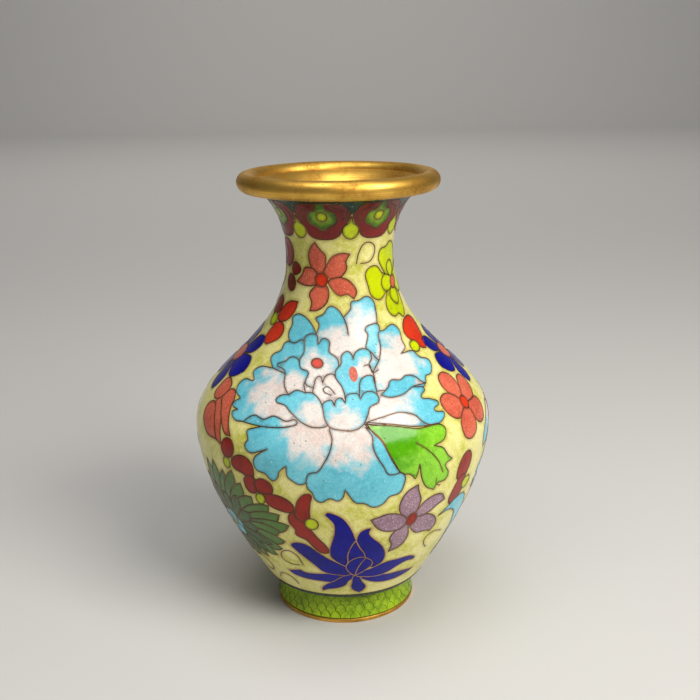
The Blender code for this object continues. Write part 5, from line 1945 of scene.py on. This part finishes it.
@dataclass
class Vase:
    """The whole vase.

    Attributes:
        form: The body's form.
        ruyi_count: Number of ruyi heads round the collar.
        ruyi_face: Azimuth in degrees of the head at the front.
        ruyi_up: Up of the heads' middles.
        drop_up: Up of the drops' middles.
    """

    form: BodyForm = field(default_factory=BodyForm)
    ruyi_count: int = 7
    ruyi_face: float = -14.5
    ruyi_up: float = 121.1
    drop_up: float = 118.1

    def build(self, shelf: FinishShelf) -> None:
        """Builds every piece, from the copper out.

        Args:
            shelf: Where the finishes come from.
        """
        CopperBody(self.form).build(shelf)
        Foot().build(shelf)
        MouthRing().build(shelf)
        motifs = [*self.front_motifs(), *self.side_motifs(), *self.back_motifs(), *self.collar()]
        wires = [motif.build(self.form, shelf) for motif in motifs]
        GroundSkin(self.form).build(shelf, np.vstack(wires))

    @staticmethod
    def framed(*rows: tuple) -> list[Motif]:
        """Motifs that have their own wire frame and enamel in the CAD.

        Args:
            *rows: Name, cells, card and, where there are any, loose wires of each motif.

        Returns:
            The motifs; a lotus has bright wires.
        """
        motifs = [Motif(*row, enamel_node=row[0], wire_node=row[0] + "_wire") for row in rows]
        for motif in motifs:
            if motif.cells is LOTUS_CELLS:
                motif.metal = Metal.BRIGHT_WIRE
        return motifs

    def front_motifs(self) -> list[Motif]:
        """Motifs drawn about the front meridian.

        Returns:
            The motifs.
        """
        front = Card()
        motifs = self.framed(
            ("red_spray", SPRAY_CELLS, front),
            ("peony", PEONY_CELLS, front, PEONY_WIRES),
            ("green_leaf", LEAF_CELLS, front, LEAF_WIRES),
            ("lilac_flower", LILAC_CELLS, front),
            ("neck_flower", NECK_FLOWER_CELLS, front),
            ("lotus", LOTUS_CELLS, front, LOTUS_WIRES),
            ("yellow_flower", YELLOW_FLOWER_CELLS, front),
        )
        motifs.append(Motif("front_tendrils", [], front, FRONT_TENDRILS))
        return motifs

    def side_motifs(self) -> list[Motif]:
        """Motifs drawn about the meridians at each side.

        Returns:
            The motifs.
        """
        peony_middle = (-1.5, 70.6)
        left, right = Card(-52.0), Card(52.0)
        blue_left = Card(-84.0)
        blue_right = Card(84.5, (0.0, 78.0), (0.0, -0.6), 0.88, True)
        peony_left = Card(-99.0, peony_middle, (-5.0, -27.0), 0.7)
        peony_right = Card(99.0, peony_middle, (1.0, -29.0), 0.72)
        motifs = self.framed(
            ("side_peony_left", PEONY_CELLS, peony_left, PEONY_WIRES),
            ("side_peony_right", PEONY_CELLS, peony_right, PEONY_WIRES),
            ("chrysanthemum", CHRYSANTHEMUM_CELLS, left),
            ("coral_leaves", CORAL_LEAF_CELLS, left),
            ("coral_flower", CORAL_FLOWER_CELLS, right),
            ("blue_flower_left", BLUE_FLOWER_CELLS, blue_left),
            ("blue_flower_right", BLUE_FLOWER_CELLS, blue_right),
            ("red_blossom_left", RED_BLOSSOM_LEFT_CELLS, left),
            ("red_blossom_right", RED_BLOSSOM_RIGHT_CELLS, right),
        )
        motifs.append(Motif("neck_reds", NECK_RED_CELLS, Card()))
        motifs.append(Motif("low_right_spray", LOW_RIGHT_CELLS, right))
        motifs.append(Motif("spray_tail", SPRAY_TAIL_CELLS, left))
        return motifs

    def back_motifs(self) -> list[Motif]:
        """Motifs on the far side, which repeat those at the front.

        Returns:
            The motifs.
        """
        lotus = Card(166.0, (2.2, 22.5), (0.0, 5.0), 1.0, True)
        peony = Card(179.0, (-1.5, 70.6), (1.5, 2.4), 0.68)
        neck_middle, yellow_middle, blue_middle = (-5.0, 105.0), (17.0, 103.0), (0.0, 78.0)
        coral_middle, lilac_middle, spray_middle = (5.0, 63.8), (18.8, 35.0), (2.0, 43.0)
        repeats = (
            ("back_peony", PEONY_CELLS, peony, PEONY_WIRES),
            ("back_leaf", LEAF_CELLS, peony, LEAF_WIRES),
            ("right_neck_flower", NECK_FLOWER_CELLS, Card(128.0, neck_middle, (5.0, 0.0), 0.95)),
            ("back_neck_flower", NECK_FLOWER_CELLS, Card(192.0, neck_middle, (5.0, 1.0), 0.85, True)),
            ("left_yellow_flower", YELLOW_FLOWER_CELLS, Card(-106.0, yellow_middle, (-17.0, 1.0), 0.84)),
            ("right_blue_flower", BLUE_FLOWER_CELLS, Card(124.0, blue_middle, (0.0, 3.0), 0.7)),
            ("left_blue_flower", BLUE_FLOWER_CELLS, Card(-122.0, blue_middle, (0.0, 3.5), 0.6, True)),
            ("right_coral_flower", CORAL_FLOWER_CELLS, Card(131.0, coral_middle, (-5.0, -0.5), 0.9, True)),
            ("left_coral_flower", CORAL_FLOWER_CELLS, Card(-131.0, coral_middle, (-5.0, -0.5), 0.85)),
            ("back_lilac_flower", LILAC_CELLS, Card(-147.0, lilac_middle, (-18.8, -6.0), 0.75)),
            ("back_blossom", BACK_BLOSSOM_CELLS, Card(139.0, spray_middle, (-2.0, -1.0), 0.9)),
            ("back_coral_leaves", CORAL_LEAF_CELLS, Card(199.0, (-3.0, 63.0), (3.0, -19.5), 0.85, True)),
            ("low_leaf", LEAF_CELLS, Card(149.0, (20.0, 54.0), (-20.0, -12.0), 0.6), LEAF_WIRES),
            ("left_red_blossom", RED_BLOSSOM_RIGHT_CELLS, Card(160.0, (4.0, 87.0), (-4.0, 8.5), 0.75, True)),
            ("back_red_blossom", RED_BLOSSOM_LEFT_CELLS, Card(219.0, (-2.0, 92.0), (2.0, 1.0), 0.7)),
        )
        motifs = [Motif(*repeat) for repeat in repeats]
        motifs += self.framed(("back_lotus", LOTUS_CELLS, lotus, LOTUS_WIRES))
        tendrils = ((-68.0, 0.0, False), (100.0, -1.5, True), (207.0, -3.0, False), (-112.0, -3.0, False))
        for index, (face, up, mirrored) in enumerate(tendrils):
            card = Card(face, (0.0, 0.0), (0.0, up), 1.0, mirrored)
            motifs.append(Motif(f"tendrils_{index + 1}", [], card, LOW_TENDRILS))
        for index, face in enumerate((160.0, -79.0, -146.0)):
            card = Card(face, (7.4, 112.0), (-7.4, -1.0), 0.9)
            motifs.append(Motif(f"neck_tendril_{index + 1}", [], card, [TENDRIL]))
        return motifs

    def collar(self) -> list[Motif]:
        """Ruyi heads under the rim, with a drop between each two.

        Returns:
            The motifs.
        """
        pitch = 360.0 / self.ruyi_count
        first = self.ruyi_face - 2.5 * pitch
        motifs = []
        for index in range(self.ruyi_count):
            drop = Card(first + index * pitch, shift=(0.0, self.drop_up))
            head = Card(first + (index + 0.5) * pitch, shift=(0.0, self.ruyi_up))
            number = index + 1
            motifs.append(Motif(f"collar_head_{number}", RUYI_CELLS, head, RUYI_WIRES, f"ruyi_head_{number}"))
            motifs.append(Motif(f"collar_drop_{number}", DROP_CELLS, drop, [], f"ruyi_drop_{number}"))
        return motifs


@dataclass(frozen=True)
class Lamp:
    """A square lamp.

    Attributes:
        name: Its name.
        place: Its place in metres.
        size: Its side in metres.
        power: Its power in watts.
        colour: Its linear RGB.
        target: The place that it faces, in metres.
    """

    name: str
    place: Point
    size: float
    power: float
    colour: Point
    target: Point = (0.0, 0.0, 0.06)

    def build(self) -> None:
        """Adds the lamp to the scene."""
        lamp = bpy.data.lights.new(self.name, "AREA")
        lamp.size = self.size
        lamp.energy = self.power
        lamp.color = self.colour
        holder = bpy.data.objects.new(self.name, lamp)
        holder.location = self.place
        aim = Vector(self.target) - Vector(self.place)
        holder.rotation_euler = aim.to_track_quat("-Z", "Y").to_euler()
        bpy.context.scene.collection.objects.link(holder)


@dataclass
class Studio:
    """Floor, lights, world and camera.

    Attributes:
        floor_reach: Half of the floor's depth in metres, and a quarter of its width.
        floor_bend: Radius in metres of the bend where the floor turns up into a wall.
        floor_colour: Colour of the floor.
        floor_gloss: Roughness of the floor.
        sky: Linear RGBA of the light from all round.
        sky_light: Its strength on the vase.
        sky_seen: What is added to its strength where the camera sees it.
        lamps: The lamps.
        camera_place: Place of the camera in millimetres.
        camera_pitch: Degrees that the camera looks down.
        camera_roll: Degrees that the camera is rolled clockwise, as its viewer sees it.
        lens: Focal length on a sensor 36 mm wide.
    """

    floor_reach: float = 2.0
    floor_bend: float = 0.6
    floor_colour: Colour = (208, 206, 202)
    floor_gloss: float = 0.7
    sky: Point = (0.97, 0.97, 1.0, 1.0)
    sky_light: float = 0.11
    sky_seen: float = 0.5
    lamps: tuple[Lamp, ...] = (
        Lamp("key", (0.36, -0.36, 0.50), 0.36, 4.6, (1.0, 0.97, 0.93)),
        Lamp("fill", (-0.75, -0.45, 0.35), 0.7, 0.1, (0.95, 0.97, 1.0)),
        Lamp("top", (-0.05, -0.12, 0.75), 0.5, 2.6, (1.0, 1.0, 1.0)),
        Lamp("backdrop", (0.0, 0.9, 1.5), 1.2, 16.0, (1.0, 0.99, 0.97), (0.0, 2.6, 0.5)),
    )
    camera_place: Point = (2.45, -268.5, 155.35)
    camera_pitch: float = 16.47
    camera_roll: float = 0.87
    lens: float = 50.31

    def build(self) -> None:
        """Builds the studio."""
        self._build_floor()
        self._build_world()
        for lamp in self.lamps:
            lamp.build()
        self._build_camera()

    def _build_floor(self) -> None:
        """Builds a pale floor that curves up into a wall behind: a line, a quarter circle and a line."""
        reach, radius = self.floor_reach, self.floor_bend
        turn = np.linspace(0.0, math.pi / 2, 16)
        curve = np.column_stack([reach + radius * np.sin(turn), radius * (1 - np.cos(turn))])
        path = np.vstack([[(-reach, 0.0)], curve, [(reach + radius, reach + radius)]])
        sides = (-2 * reach, 2 * reach)
        points = np.array([(side, place, height) for side in sides for place, height in path])
        quads = grid_triangles(2, len(path), False, False)
        floor = make_mesh_object("floor", points, quads)
        material = bpy.data.materials.new("pale_floor")
        material.use_nodes = True
        shader = material.node_tree.nodes["Principled BSDF"]
        shader.inputs["Base Color"].default_value = linear(*self.floor_colour)
        shader.inputs["Roughness"].default_value = self.floor_gloss
        floor.data.materials.append(material)

    def _build_world(self) -> None:
        """Sets an even pale light from all round."""
        world = bpy.data.worlds.new("studio")
        world.use_nodes = True
        graph = Graph(world.node_tree)
        seen = graph.add("LightPath").outputs["Is Camera Ray"]
        strength = graph.plus(graph.times(seen, self.sky_seen), self.sky_light)
        background = world.node_tree.nodes["Background"]
        background.inputs["Color"].default_value = self.sky
        world.node_tree.links.new(strength, background.inputs["Strength"])
        bpy.context.scene.world = world

    def _build_camera(self) -> None:
        """Builds the camera from its place, pitch and roll."""
        pitch, roll = math.radians(self.camera_pitch), math.radians(self.camera_roll)
        right = Vector((1.0, 0.0, 0.0))
        up = Vector((0.0, math.sin(pitch), math.cos(pitch)))
        ahead = Vector((0.0, math.cos(pitch), -math.sin(pitch)))
        turned_right = right * math.cos(roll) - up * math.sin(roll)
        turned_up = up * math.cos(roll) + right * math.sin(roll)
        matrix = Matrix((turned_right, turned_up, -ahead)).transposed().to_4x4()
        matrix.translation = Vector(self.camera_place) * MM
        view = bpy.data.cameras.new("camera")
        view.lens = self.lens
        view.clip_start = 0.01
        holder = bpy.data.objects.new("camera", view)
        holder.matrix_world = matrix
        bpy.context.scene.collection.objects.link(holder)
        bpy.context.scene.camera = holder


def main() -> None:
    """Builds the look round the frame."""
    logging.basicConfig(level=logging.INFO, format="%(name)s: %(message)s")
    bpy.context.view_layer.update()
    Vase().build(FinishShelf())
    Studio().build()
    bpy.context.scene.view_settings.view_transform = "Standard"


if __name__ == "__main__":
    main()
